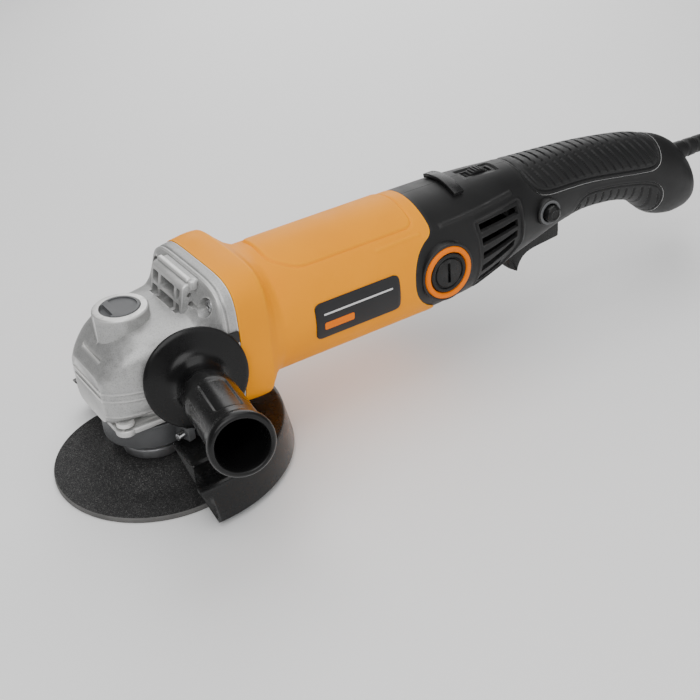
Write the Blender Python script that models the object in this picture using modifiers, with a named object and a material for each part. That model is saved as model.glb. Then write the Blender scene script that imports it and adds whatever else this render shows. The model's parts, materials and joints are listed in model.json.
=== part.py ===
"""Long-handled angle grinder: gear head, motor housing, clamshell grip, guard and side handle.

Lengths are in millimetres. +X runs from the wheel to the cord, -Y is the side handle's side,
and +Z is up. Heights are measured from the top of the wheel's rim until rest_on_floor moves
the whole tool so that it stands on the floor, centred over the origin.
"""
import bmesh
import bpy
from math import atan, copysign, cos, pi, radians, sin
from mathutils import Matrix, Vector

MM = 0.001
GAP = 0.3

# Wheel, guard and spindle
WHEEL_RADIUS = 57.5
WHEEL_THICKNESS = 3.0
WHEEL_RISE = 8.3
WHEEL_BORE = 11.1
GUARD_RADIUS = 76.6
GUARD_TOP = 21.0
SHEET = 1.6
NECK_RADIUS = 23.7
NECK_TOP = 37.0
NECK_BOTTOM = 24.0
SPINDLE_RADIUS = 6.0
THREAD_RADIUS = 6.9

# Motor, gears and housings
MOTOR_HEIGHT = 67.0
BODY_RADIUS = 37.0
CROWN_TEETH = 32
PINION_TEETH = 10
GEAR_MODULE = 1.4375
TOOTH_FACE = 6.7
HEAD_REAR = 40.0
FLARE_FRONT = HEAD_REAR + GAP
STACK_FRONT = 80.0
STACK_REAR = 130.0
STATOR_RADIUS = 33.9
ARMATURE_RADIUS = 19.8
SHAFT_RADIUS = 5.0
BRUSH_X = 176.0
COMMUTATOR_RADIUS = 12.0
REAR_WEB = (190.0, 201.0)
SCREW_SHANK = 1.9
SCREW_HEAD = 3.6

# Grip, trigger and controls
TRIGGER_PIVOT = (249.0, 54.0)
TRIGGER_HALF_WIDTH = 8.0
DIAL_CENTRE = (225.0, 93.0)
DIAL_RADIUS = 11.0
LOCK_ON_CENTRE = (258.5, 74.5)
PAD_DEPTH = 2.0
SHELL_SCREWS = ((214.0, 46.0), (304.0, 72.0), (386.0, 44.0))
SHELL_POST_REACH = {1: (26.0, 17.0, 13.0), -1: (19.0, 17.0, 13.0)}
SHELL_HEAD_Y = (21.0, 14.0, 11.0)

# Side handle, from its flange to its open end
HANDLE_FLANGE = Vector((12.9, -41.7, 65.5))
HANDLE_END = Vector((-4.0, -124.0, 78.0))
HANDLE_FLANGE_RADIUS = 27.8
STUD_RADIUS = 3.9

# Cord
CORD_RADIUS = 4.0
CORD_HEIGHT = 65.5
BOOT_END = 432.0
COIL_CENTRE = (575.0, -10.0)
COIL_RADIUS = 48.0
COIL_TURNS_WIDE = 4
COIL_TURNS_HIGH = 2
COIL_LIFT = 1.3
PLUG_HEIGHT = 10.4
PLUG_NECK = 4.4
CORD_PULL = 200.0
CORD_SHOWN = 0.715

FLOOR = -WHEEL_THICKNESS
# The exact solver leaves open edges in these long chains of cuts
MANY_CUTS = ("gear_housing", "motor_housing", "rear_shell_left", "rear_shell_right")
HANDLE_AXIS = (HANDLE_END - HANDLE_FLANGE).normalized()
HANDLE_LENGTH = (HANDLE_END - HANDLE_FLANGE).length
CORD_NODES = ("cord", "cord_coil", "plug")

# Sections of the lofted housings: x, half width, low z, high z, squareness
HEAD_SECTIONS = (
    (-31.0, 18.5, 42.0, 70.0, 5.0),
    (-27.0, 23.0, 41.0, 74.5, 4.6),
    (-17.0, 28.5, 41.0, 83.5, 3.6),
    (-5.0, 32.0, 41.0, 90.5, 3.0),
    (8.0, 35.0, 41.0, 94.0, 2.8),
    (20.0, 37.0, 41.0, 98.0, 2.9),
    (29.0, 38.8, 41.0, 102.4, 3.9),
    (33.0, 40.4, 33.0, 107.2, 5.0),
    (HEAD_REAR, 41.0, 31.5, 108.5, 5.0),
)
HEAD_CAVITY = (
    (-26.0, 17.0, 45.0, 66.0, 4.0),
    (-12.0, 26.0, 45.0, 79.0, 3.5),
    (5.0, 30.0, 45.0, 88.0, 3.0),
    (20.0, 32.0, 45.0, 92.0, 3.0),
    (29.5, 33.0, 45.0, 94.0, 3.0),
)
MOTOR_SECTIONS = (
    (FLARE_FRONT, 41.3, 31.2, 108.9, 5.0),
    (52.0, 41.8, 30.8, 110.0, 5.0),
    (56.5, 41.6, 30.8, 110.0, 4.8),
    (60.0, 39.8, 30.6, 107.6, 3.6),
    (64.0, 38.0, 30.2, 105.2, 2.5),
    (70.0, BODY_RADIUS, 30.0, 104.0, 2.0),
    (175.0, BODY_RADIUS, 30.0, 104.0, 2.0),
)
MOTOR_CAVITY = (
    (38.0, 37.5, 35.0, 105.0, 5.0),
    (55.0, 37.5, 35.0, 105.5, 5.0),
    (61.0, 35.2, 34.2, 101.8, 3.0),
    (68.0, 34.2, 32.8, 101.2, 2.0),
    (178.0, 34.2, 32.8, 101.2, 2.0),
)
REAR_SECTIONS = (
    (147.0, BODY_RADIUS, 30.0, 104.0, 2.0),
    (200.0, 35.6, 32.6, 103.9, 2.0),
    (220.0, 32.8, 37.0, 103.2, 2.0),
    (250.0, 27.0, 44.8, 101.3, 2.0),
    (280.0, 21.8, 52.0, 99.2, 2.2),
    (300.0, 20.2, 54.4, 97.8, 2.2),
    (320.0, 19.8, 52.8, 95.3, 2.2),
    (340.0, 19.8, 47.8, 92.0, 2.2),
    (352.0, 19.8, 40.2, 89.4, 2.2),
    (363.0, 19.8, 31.0, 86.2, 2.2),
    (375.0, 19.2, 27.0, 81.4, 2.2),
    (388.0, 16.6, 26.5, 70.7, 2.2),
    (398.0, 11.4, 30.0, 54.8, 2.2),
    (402.5, 4.0, 35.5, 43.5, 2.0),
)
REAR_CAVITY = (
    (REAR_WEB[1], 32.6, 35.6, 100.9, 2.0),
    (220.0, 29.9, 40.0, 100.2, 2.0),
    (240.0, 26.0, 45.4, 99.0, 2.0),
    (262.0, 19.0, 53.0, 95.2, 2.0),
    (280.0, 16.6, 57.4, 93.8, 2.2),
    (300.0, 15.0, 59.6, 92.4, 2.2),
    (340.0, 14.6, 53.2, 86.6, 2.2),
    (354.0, 14.6, 44.4, 83.2, 2.2),
    (368.0, 14.2, 35.0, 78.6, 2.2),
    (390.0, 9.0, 34.0, 60.0, 2.2),
)

# Side views, as x and z
BODY_JOINT = (
    (171.5, 125.0),
    (171.5, 103.0),
    (171.8, 92.0),
    (169.0, 89.0),
    (164.4, 87.2),
    (158.8, 83.0),
    (154.8, 76.0),
    (153.5, 67.0),
    (154.8, 59.6),
    (158.8, 53.0),
    (166.0, 46.0),
    (173.0, 42.0),
    (173.0, 15.0),
    (430.0, 15.0),
    (430.0, 125.0),
)
UPPER_PAD = (
    (254.0, 120.0),
    (254.0, 98.0),
    (262.0, 88.0),
    (272.0, 82.5),
    (300.0, 80.5),
    (340.0, 74.5),
    (360.0, 70.5),
    (367.0, 74.0),
    (370.0, 82.0),
    (370.0, 120.0),
)
LOWER_PAD = (
    (352.0, 20.0),
    (362.0, 40.0),
    (363.0, 50.0),
    (358.0, 59.5),
    (345.0, 64.0),
    (315.0, 69.0),
    (303.0, 66.0),
    (294.0, 56.0),
    (294.0, 20.0),
)
TRIGGER_OUTLINE = (
    (243.5, 42.0),
    (243.5, 33.0),
    (250.5, 28.5),
    (252.0, 34.0),
    (256.0, 38.5),
    (262.0, 40.6),
    (283.5, 42.5),
    (283.5, 57.0),
    (276.0, 60.0),
    (262.0, 60.0),
    (250.0, 58.0),
    (245.0, 54.0),
)

UPRIGHT = Matrix.Rotation(pi / 2, 4, "X")
ALONG_X = Matrix(((0, 0, 1, 0), (1, 0, 0, 0), (0, 1, 0, 0), (0, 0, 0, 1)))


def clear_scene():
    for item in list(bpy.data.objects):
        bpy.data.objects.remove(item)


def collection(name, hidden=False):
    group = bpy.data.collections.new(name)
    bpy.context.scene.collection.children.link(group)
    group.hide_render = hidden
    return group


def material(name, colour, roughness, metallic=0.0):
    shade = bpy.data.materials.new(name)
    shade.use_nodes = True
    surface = shade.node_tree.nodes["Principled BSDF"]
    surface.inputs["Base Color"].default_value = (*colour, 1.0)
    surface.inputs["Roughness"].default_value = roughness
    surface.inputs["Metallic"].default_value = metallic
    shade.diffuse_color = (*colour, 1.0)
    return shade


def place_object(name, data, shade, place):
    obj = bpy.data.objects.new(name, data)
    obj.matrix_world = place
    if shade is None:
        CUTTERS.objects.link(obj)
        obj.hide_render = True
        obj.display_type = "WIRE"
    else:
        PARTS.objects.link(obj)
        data.materials.append(shade)
    return obj


def mesh_object(name, verts, faces, shade, place, edges=()):
    mesh = bpy.data.meshes.new(name)
    mesh.from_pydata([Vector(v) * MM for v in verts], list(edges), faces)
    if faces:
        model = bmesh.new()
        model.from_mesh(mesh)
        bmesh.ops.recalc_face_normals(model, faces=model.faces)
        model.to_mesh(mesh)
        model.free()
    return place_object(name, mesh, shade, place)


def smooth(obj, angle=40.0):
    obj.data.shade_smooth()
    obj.data.set_sharp_from_angle(angle=radians(angle))
    return obj


def at(x, y, z):
    return Matrix.Translation(Vector((x, y, z)) * MM)


def facing(point, direction):
    turn = Vector(direction).to_track_quat("Z", "Y").to_matrix().to_4x4()
    return at(*point) @ turn


def turned(name, profile, shade, place=Matrix(), steps=20, ring=False):
    """A profile of radius and height, turned about its local Z; ring closes it off the axis."""
    count = len(profile)
    edges = [(i, i + 1) for i in range(count - 1)]
    if ring:
        edges.append((count - 1, 0))
    verts = [(r, 0.0, z) for r, z in profile]
    obj = mesh_object(name, verts, [], shade, place, edges)
    screw = obj.modifiers.new("turn", "SCREW")
    screw.steps = steps
    screw.render_steps = steps
    screw.use_merge_vertices = True
    screw.merge_threshold = 0.00001
    screw.use_smooth_shade = True
    return obj


def rod(name, radius, low, high, shade, place=Matrix(), steps=16):
    return turned(name, ((0, high), (radius, high), (radius, low), (0, low)), shade, place, steps)


def tube(name, outer, inner, low, high, shade, place=Matrix(), steps=32):
    profile = ((inner, high), (outer, high), (outer, low), (inner, low))
    return turned(name, profile, shade, place, steps, ring=True)


def prism(name, outline, depth, shade, place=Matrix()):
    """A flat outline thickened both ways from its own plane."""
    verts = [(x, y, 0.0) for x, y in outline]
    obj = mesh_object(name, verts, [tuple(range(len(verts)))], shade, place)
    solid = obj.modifiers.new("depth", "SOLIDIFY")
    solid.thickness = depth * MM
    solid.offset = 0.0
    return obj


def block(name, low, high, shade, place=Matrix()):
    """A box between two opposite corners."""
    outline = ((low[0], low[1]), (high[0], low[1]), (high[0], high[1]), (low[0], high[1]))
    lift = at(0, 0, (low[2] + high[2]) / 2)
    return prism(name, outline, high[2] - low[2], shade, place @ lift)


def loft(name, sections, shade, sides=24, inset=0.0):
    """A body along X through rounded sections, taken in by inset all round."""
    verts = []
    for x, half_width, low, high, power in sections:
        half_height = (high - low) / 2 - inset
        for i in range(sides):
            angle = 2 * pi * i / sides
            c = cos(angle)
            s = sin(angle)
            y = copysign(abs(c) ** (2 / power), c) * (half_width - inset)
            z = (low + high) / 2 + copysign(abs(s) ** (2 / power), s) * half_height
            verts.append((x, y, z))
    faces = [tuple(range(sides)), tuple(range(len(verts) - sides, len(verts)))]
    for k in range(len(sections) - 1):
        for i in range(sides):
            a = k * sides + i
            b = k * sides + (i + 1) % sides
            faces.append((a, b, b + sides, a + sides))
    return smooth(mesh_object(name, verts, faces, shade, Matrix()))


def wire(name, points, radius, shade, resolution=2):
    """A round wire through points, with closed ends."""
    curve = bpy.data.curves.new(name, "CURVE")
    curve.dimensions = "3D"
    line = curve.splines.new("POLY")
    line.points.add(len(points) - 1)
    for spot, point in zip(line.points, points):
        spot.co = (*(Vector(point) * MM), 1.0)
    line.use_smooth = True
    curve.bevel_depth = radius * MM
    curve.bevel_resolution = resolution
    curve.use_fill_caps = True
    scratch = bpy.data.objects.new(name, curve)
    CUTTERS.objects.link(scratch)
    graph = bpy.context.evaluated_depsgraph_get()
    mesh = bpy.data.meshes.new_from_object(scratch.evaluated_get(graph))
    bpy.data.objects.remove(scratch)
    model = bmesh.new()
    model.from_mesh(mesh)
    bmesh.ops.remove_doubles(model, verts=model.verts, dist=0.00001)
    bmesh.ops.recalc_face_normals(model, faces=model.faces)
    model.to_mesh(mesh)
    model.free()
    mesh.materials.clear()
    obj = place_object(name, mesh, shade, Matrix())
    return smooth(obj)


def coil_spring(name, radius, wire_radius, low, high, turns, shade, place):
    count = int(turns * 8)
    points = []
    for i in range(count + 1):
        angle = 2 * pi * turns * i / count
        height = low + wire_radius + (high - low - 2 * wire_radius) * i / count
        points.append(place @ Vector((radius * cos(angle), radius * sin(angle), height)))
    return wire(name, points, wire_radius, shade, resolution=0)


def combine(obj, other, operation):
    step = obj.modifiers.new(other.name, "BOOLEAN")
    step.operation = operation
    step.solver = "MANIFOLD" if obj.name in MANY_CUTS else "EXACT"
    step.object = other
    return obj


def cut(obj, *others):
    for other in others:
        combine(obj, other, "DIFFERENCE")
    return obj


def join(obj, *others):
    for other in others:
        combine(obj, other, "UNION")
    return obj


def keep_inside(obj, other):
    return combine(obj, other, "INTERSECT")


def bevel_gear(name, teeth, mate_teeth, inner_rings, outer_rings, shade, place):
    """Straight bevel gear about local Z with its cone's apex at the local origin.

    outer_rings run from the teeth's large end round the back, inner_rings carry on to the
    teeth's small end; both are plain circles given as radius and height.
    """
    slope = atan(teeth / mate_teeth)
    reach = GEAR_MODULE * teeth / 2 / sin(slope)
    along = Vector((sin(slope), -cos(slope)))
    out = Vector((cos(slope), sin(slope)))
    pitch = 2 * pi / teeth
    tip = along * reach + out * 0.70 * GEAR_MODULE
    root = along * reach - out * 0.80 * GEAR_MODULE
    offsets = ((-0.27, root), (-0.12, tip), (0.12, tip), (0.27, root))
    shrink = (reach - TOOTH_FACE) / reach

    def star(scale):
        ring = []
        for k in range(teeth):
            for share, spot in offsets:
                angle = (k + share) * pitch
                ring.append((spot.x * scale * cos(angle), spot.x * scale * sin(angle), spot.y * scale))
        return ring

    def circle(radius, height):
        ring = []
        for k in range(teeth):
            for share, spot in offsets:
                angle = (k + share) * pitch
                ring.append((radius * cos(angle), radius * sin(angle), height))
        return ring

    rings = [star(1.0)]
    rings += [circle(r, z) for r, z in outer_rings]
    rings += [circle(r, z) for r, z in inner_rings]
    rings.append(star(shrink))
    count = 4 * teeth
    verts = [vert for ring in rings for vert in ring]
    faces = []
    for k in range(len(rings)):
        following = (k + 1) % len(rings)
        for i in range(count):
            j = (i + 1) % count
            faces.append((k * count + i, k * count + j, following * count + j, following * count + i))
    return mesh_object(name, verts, faces, shade, place)


def screw(name, point, direction, length, shade):
    """Pan-head screw: its head's underside is at point and its shank runs along direction."""
    profile = (
        (0, length),
        (SCREW_SHANK, length),
        (SCREW_SHANK, 0),
        (SCREW_HEAD, 0),
        (SCREW_HEAD, -1.6),
        (SCREW_HEAD - 1.0, -2.6),
        (0, -2.6),
    )
    place = facing(point, direction)
    body = turned(name, profile, shade, place, steps=12)
    slot = block(name + "_slot", (-2.4, -0.45, -4.0), (2.4, 0.45, -1.5), None, place)
    return cut(body, slot)


def head_screw_points():
    return [(side * 29.5, MOTOR_HEIGHT + level * 29.0) for side in (-1, 1) for level in (1, -1)]


def plate_screw_points():
    return [(x, y) for x in (-22.5, 22.5) for y in (-22.5, 22.5)]


def make_gear_housing():
    body = loft("gear_housing", HEAD_SECTIONS, CAST)
    vent_side = ((18.0, 84.0), (22.3, 104.8), (24.5, 105.6), (33.0, 106.0), (36.0, 84.0))
    hood = prism("vent_hood", vent_side, 37.0, None, UPRIGHT)
    bar = block("hood_bar", (25.5, -17.6, 103.0), (28.5, 17.6, 107.8), None)
    boss = rod("lock_boss", 14.6, 78.0, 96.0, None, at(-6, 0, 0), 20)
    handle_boss = rod("handle_boss", 9.0, -13.5, -4.0, None, facing(HANDLE_FLANGE, HANDLE_AXIS), 14)
    join(body, hood, bar, boss, handle_boss)
    cut(body, loft("head_cavity", HEAD_CAVITY, None, 16))
    top_bush = rod("top_bush", 8.5, 71.0, 90.0, None)
    join(body, top_bush)
    for k, (x, y) in enumerate(plate_screw_points()):
        join(body, rod("plate_post_%d" % k, 4.8, 42.0, 51.0, None, at(x, y, 0), 8))
    cut(body, rod("spindle_top_bore", 4.5 + GAP, 60.0, 80.0, None))
    cut(body, rod("plate_bore", 22.9 + GAP, 30.0, 47.0, None, Matrix(), 28))
    axis = at(0, 0, MOTOR_HEIGHT) @ ALONG_X
    cut(body, rod("bearing_seat", 13.0, 31.8, 45.0, None, axis, 20))
    cut(body, rod("shaft_way", 9.0, 20.0, 45.0, None, axis, 14))
    cut(body, rod("button_bore", 10.8 + GAP, 86.4, 100.0, None, at(-6, 0, 0), 20))
    cut(body, rod("pin_way", 2.2 + GAP, 60.0, 90.0, None, at(-13, 0, 0), 10))
    stud_way = facing(HANDLE_FLANGE, HANDLE_AXIS)
    cut(body, rod("handle_thread", STUD_RADIUS + GAP, -20.0, 5.0, None, stud_way, 12))
    for k, (y, z) in enumerate(head_screw_points()):
        way = at(0, y, z) @ ALONG_X
        cut(body, rod("screw_pocket_%d" % k, 4.6, -5.0, 33.0, None, way, 12))
        cut(body, rod("screw_way_%d" % k, SCREW_SHANK + GAP, 20.0, 60.0, None, way, 8))
    for k, (x, y) in enumerate(plate_screw_points()):
        cut(body, rod("plate_way_%d" % k, SCREW_SHANK + GAP, 30.0, 49.5, None, at(x, y, 0), 8))
    windows = (((-15.6, -12.2), 2), ((-9.2, 6.4), 2), ((9.2, 15.6), 2))
    for k, (span, rows) in enumerate(windows):
        for row in range(rows):
            low = 88.4 + row * 7.8
            corners = ((10.0, span[0], low), (27.0, span[1], low + 6.0))
            cut(body, block("vent_%d_%d" % (k, row), *corners, None))
    return body


def make_bearing_plate():
    octagon = []
    for sx, sy in ((1, 1), (-1, 1), (-1, -1), (1, -1)):
        pair = [(28.0 * sx, 23.0 * sy), (23.0 * sx, 28.0 * sy)]
        octagon += pair if sx * sy > 0 else pair[::-1]
    body = prism("bearing_plate", octagon, 3.4, CAST, at(0, 0, NECK_TOP + 2.0))
    join(body, rod("neck", NECK_RADIUS, NECK_BOTTOM, NECK_TOP + 1.0, None, Matrix(), 28))
    join(body, rod("spigot", 22.9, NECK_TOP + 1.0, NECK_TOP + 8.0, None, Matrix(), 28))
    cut(body, rod("bearing_bore", 15.0 + GAP, 26.2, 60.0, None, Matrix(), 20))
    cut(body, rod("spindle_way", 11.0, 10.0, 60.0, None, Matrix(), 16))
    for k, (x, y) in enumerate(plate_screw_points()):
        cut(body, rod("flange_way_%d" % k, SCREW_SHANK + GAP, 20.0, 60.0, None, at(x, y, 0), 8))
    return body


def make_spindle_parts():
    turned(
        "spindle",
        (
            (0, 79), (4.5, 79), (4.5, 61), (SPINDLE_RADIUS, 61), (SPINDLE_RADIUS, 26.3), (8.8, 26.3),
            (8.8, 17.2), (THREAD_RADIUS, 17.2), (THREAD_RADIUS, 1.3), (THREAD_RADIUS - 0.8, 0.5), (0, 0.5),
        ),
        STEEL,
    )
    place = at(0, 0, MOTOR_HEIGHT)
    crown = bevel_gear(
        "crown_gear", CROWN_TEETH, PINION_TEETH,
        ((SPINDLE_RADIUS + GAP, -9.8), (15.4, -10.0)),
        ((22.3, -15.7), (SPINDLE_RADIUS + GAP, -15.7)),
        GEAR_STEEL, place @ Matrix.Rotation(pi / CROWN_TEETH, 4, "Z"),
    )
    for k in range(4):
        turn = Matrix.Rotation(k * pi / 2, 4, "Z")
        cut(crown, rod("lock_hole_%d" % k, 2.2 + 2 * GAP, -20.0, -5.0, None, place @ turn @ at(13, 0, 0), 8))
    turned(
        "spindle_bearing",
        (
            (SPINDLE_RADIUS + GAP, 36.4), (8.9, 36.0), (12.4, 36.0), (15, 36.4),
            (15, 26.5), (12.4, 26.9), (8.9, 26.9), (SPINDLE_RADIUS + GAP, 26.5),
        ),
        BEARING, ring=True,
    )
    turned(
        "inner_flange",
        (
            (THREAD_RADIUS + GAP, 16.9), (13.5, 16.9), (17.0, 14.6), (17.7, 14.0), (17.7, 8.9),
            (16.9, WHEEL_RISE + GAP), (WHEEL_BORE - GAP, WHEEL_RISE + GAP), (WHEEL_BORE - GAP, 5.6),
            (THREAD_RADIUS + GAP, 5.6),
        ),
        DARK_STEEL, ring=True, steps=20,
    )
    nut = turned(
        "outer_flange_nut",
        (
            (THREAD_RADIUS + GAP, 5.0), (17.0, 5.0), (17.0, 2.6), (16.0, 1.6), (12.0, 1.6), (11.0, -0.6),
            (THREAD_RADIUS + GAP, -0.6),
        ),
        DARK_STEEL, ring=True, steps=24,
    )
    for k in range(4):
        turn = Matrix.Rotation(k * pi / 2 + pi / 4, 4, "Z")
        cut(nut, rod("key_hole_%d" % k, 1.8, -5.0, 3.5, None, turn @ at(14, 0, 0), 8))
    base = -WHEEL_THICKNESS
    turned(
        "grinding_wheel",
        (
            (WHEEL_BORE, WHEEL_RISE), (23, WHEEL_RISE), (27.5, 6.2), (35, 0.8), (39, 0),
            (WHEEL_RADIUS - 0.4, 0), (WHEEL_RADIUS, -0.5), (WHEEL_RADIUS, base), (37.6, base),
            (33.4, base + 0.8), (26.0, 3.2), (21.8, WHEEL_RISE - 3.0), (WHEEL_BORE, WHEEL_RISE - 3.0),
        ),
        ABRASIVE, ring=True, steps=32,
    )


def make_spindle_lock():
    place = at(-6, 0, 0)
    button = rod("spindle_lock_button", 10.8, 90.8, 97.0, DARK_PLASTIC, place, 20)
    join(button, rod("lock_pin", 2.2, MOTOR_HEIGHT - 8.7, 91.5, None, at(-13, 0, 0), 10))
    cut(button, block("button_notch", (-20.0, -6.5, 94.4), (-12.5, 6.5, 99.0), None))
    coil_spring("lock_button_spring", 3.2, 0.35, 0, 3.9, 2.5, SPRING, Matrix.Translation((-13.0, 0, 86.6)))


def make_guard():
    outer = GUARD_RADIUS
    top = GUARD_TOP
    guard = turned(
        "wheel_guard",
        (
            (NECK_RADIUS + 3.1, top + SHEET), (50, top + SHEET), (52, top), (70.5, top), (72.6, top - 1.2),
            (73.2, top - 3.0), (outer, 0.4), (outer - SHEET, 0.4), (71.6, top - 3.4), (70.2, top - SHEET),
            (51.3, top - SHEET), (49.3, top), (NECK_RADIUS + 3.1, top),
        ),
        BLACK_PAINT, ring=True, steps=40,
    )
    wedge = []
    for z, degrees in ((45.0, 111.5), (-15.0, 91.3)):
        a = radians(degrees)
        reach = 130.0
        wedge.append((0.0, 0.0, z))
        wedge.append((reach * cos(a), -reach * sin(a), z))
        wedge.append((-reach * 1.5, -reach * 1.5, z))
        wedge.append((-reach * 1.5, reach * 1.5, z))
        wedge.append((reach * cos(a), reach * sin(a), z))
    faces = [(0, 1, 2, 3, 4), (5, 6, 7, 8, 9)]
    faces += [(i, (i + 1) % 5, (i + 1) % 5 + 5, i + 5) for i in range(5)]
    cut(guard, mesh_object("guard_opening", wedge, faces, None, Matrix()))
    band_in = NECK_RADIUS + GAP
    band = tube("guard_band", band_in + 2.4, band_in, GUARD_TOP + SHEET / 2, 35.8, BLACK_PAINT, Matrix(), 32)
    turn = Matrix.Rotation(radians(-72), 4, "Z")
    join(band, block("band_ears", (band_in + 1.0, -5.5, 25.0), (36.0, 5.5, 33.0), None, turn))
    cut(band, block("band_split", (10.0, -1.2, 10.0), (60.0, 1.2, 50.0), None, turn))
    axis = turn @ at(31.6, 0, 29) @ Matrix.Rotation(pi / 2, 4, "X")
    cut(band, rod("ear_way", 1.9 + GAP, -20, 20, None, axis, 10))
    turned(
        "guard_screw",
        (
            (0, 10.0), (1.9, 10.0), (1.9, -5.8), (3.4, -5.8), (3.4, -8.8), (1.7, -8.8), (1.7, -7.4),
            (0, -7.4),
        ),
        STEEL, axis, steps=12,
    )


def make_side_handle():
    place = facing(HANDLE_FLANGE, HANDLE_AXIS)
    length = HANDLE_LENGTH
    edge = HANDLE_FLANGE_RADIUS
    turned(
        "side_handle",
        (
            (0, 24.0), (11.0, 24.0),
            (12.6, length - 3.0), (13.6, length), (15.2, length), (16.6, length - 1.6),
            (16.6, length - 4.6), (15.2, length - 6.6), (14.6, length - 9.0), (14.3, 34.0), (13.6, 22.0),
            (11.4, 16.0), (11.2, 12.0),
            (12.6, 7.0), (16.0, 3.2), (edge - 1.6, 1.0), (edge, 0.0), (edge, -1.6), (edge - 1.4, -2.6),
            (12.0, -3.4), (STUD_RADIUS + GAP, -3.4), (STUD_RADIUS + GAP, 13.0), (0, 13.0),
        ),
        BLACK_PLASTIC, place, steps=20,
    )
    rod("side_handle_stud", STUD_RADIUS, -12.5, 12.7, STEEL, place, 12)


def make_motor_housing():
    body = loft("motor_housing", MOTOR_SECTIONS, YELLOW)
    cut(body, prism("rear_part", BODY_JOINT, 200.0, None, UPRIGHT))
    cut(body, loft("motor_cavity", MOTOR_CAVITY, None))
    for k, (y, z) in enumerate(head_screw_points()):
        axis = at(0, y, z) @ ALONG_X
        join(body, rod("head_post_%d" % k, 4.6, FLARE_FRONT + 0.4, 56.0, None, axis, 10))
    for k, (y, z) in enumerate(head_screw_points()):
        axis = at(0, y, z) @ ALONG_X
        cut(body, rod("head_way_%d" % k, SCREW_SHANK + GAP, 30.0, 53.5, None, axis, 8))
    return body


def make_field():
    axis = at(0, 0, MOTOR_HEIGHT) @ ALONG_X
    stator = tube("stator_core", STATOR_RADIUS, 27.0, STACK_FRONT, STACK_REAR, LAMINATION, axis, 28)
    poles = tube("poles", 28.0, ARMATURE_RADIUS + 0.7, STACK_FRONT, STACK_REAR, None, axis, 28)
    keep_inside(poles, block("pole_width", (0, -14.0, -60.0), (300, 14.0, 160.0), None))
    join(stator, poles)
    for name, side in (("field_coil_upper", 1), ("field_coil_lower", -1)):
        coil = tube(name, 26.6, ARMATURE_RADIUS + 1.4, STACK_FRONT - 8, STACK_REAR + 8, COPPER, axis, 28)
        middle = MOTOR_HEIGHT + side * 30
        keep_inside(coil, block(name + "_reach", (60, -20.5, middle - 28), (150, 20.5, middle + 28), None))
        low = (STACK_FRONT - GAP, -14.4, middle - 40)
        high = (STACK_REAR + GAP, 14.4, middle + 40)
        cut(coil, block(name + "_hole", low, high, None))


def slot_outline(teeth, root, tip, share, grow):
    outline = []
    for k in range(teeth):
        middle = 2 * pi * k / teeth
        half = pi / teeth * share
        for radius, angle in ((root, middle - pi / teeth), (root, middle - half), (tip, middle - half),
                              (tip, middle + half), (root, middle + half)):
            spread = grow / radius if angle > middle else -grow / radius
            if angle == middle - pi / teeth:
                spread = 0.0
            outline.append(((radius + grow) * cos(angle + spread), (radius + grow) * sin(angle + spread)))
    return outline


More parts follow.
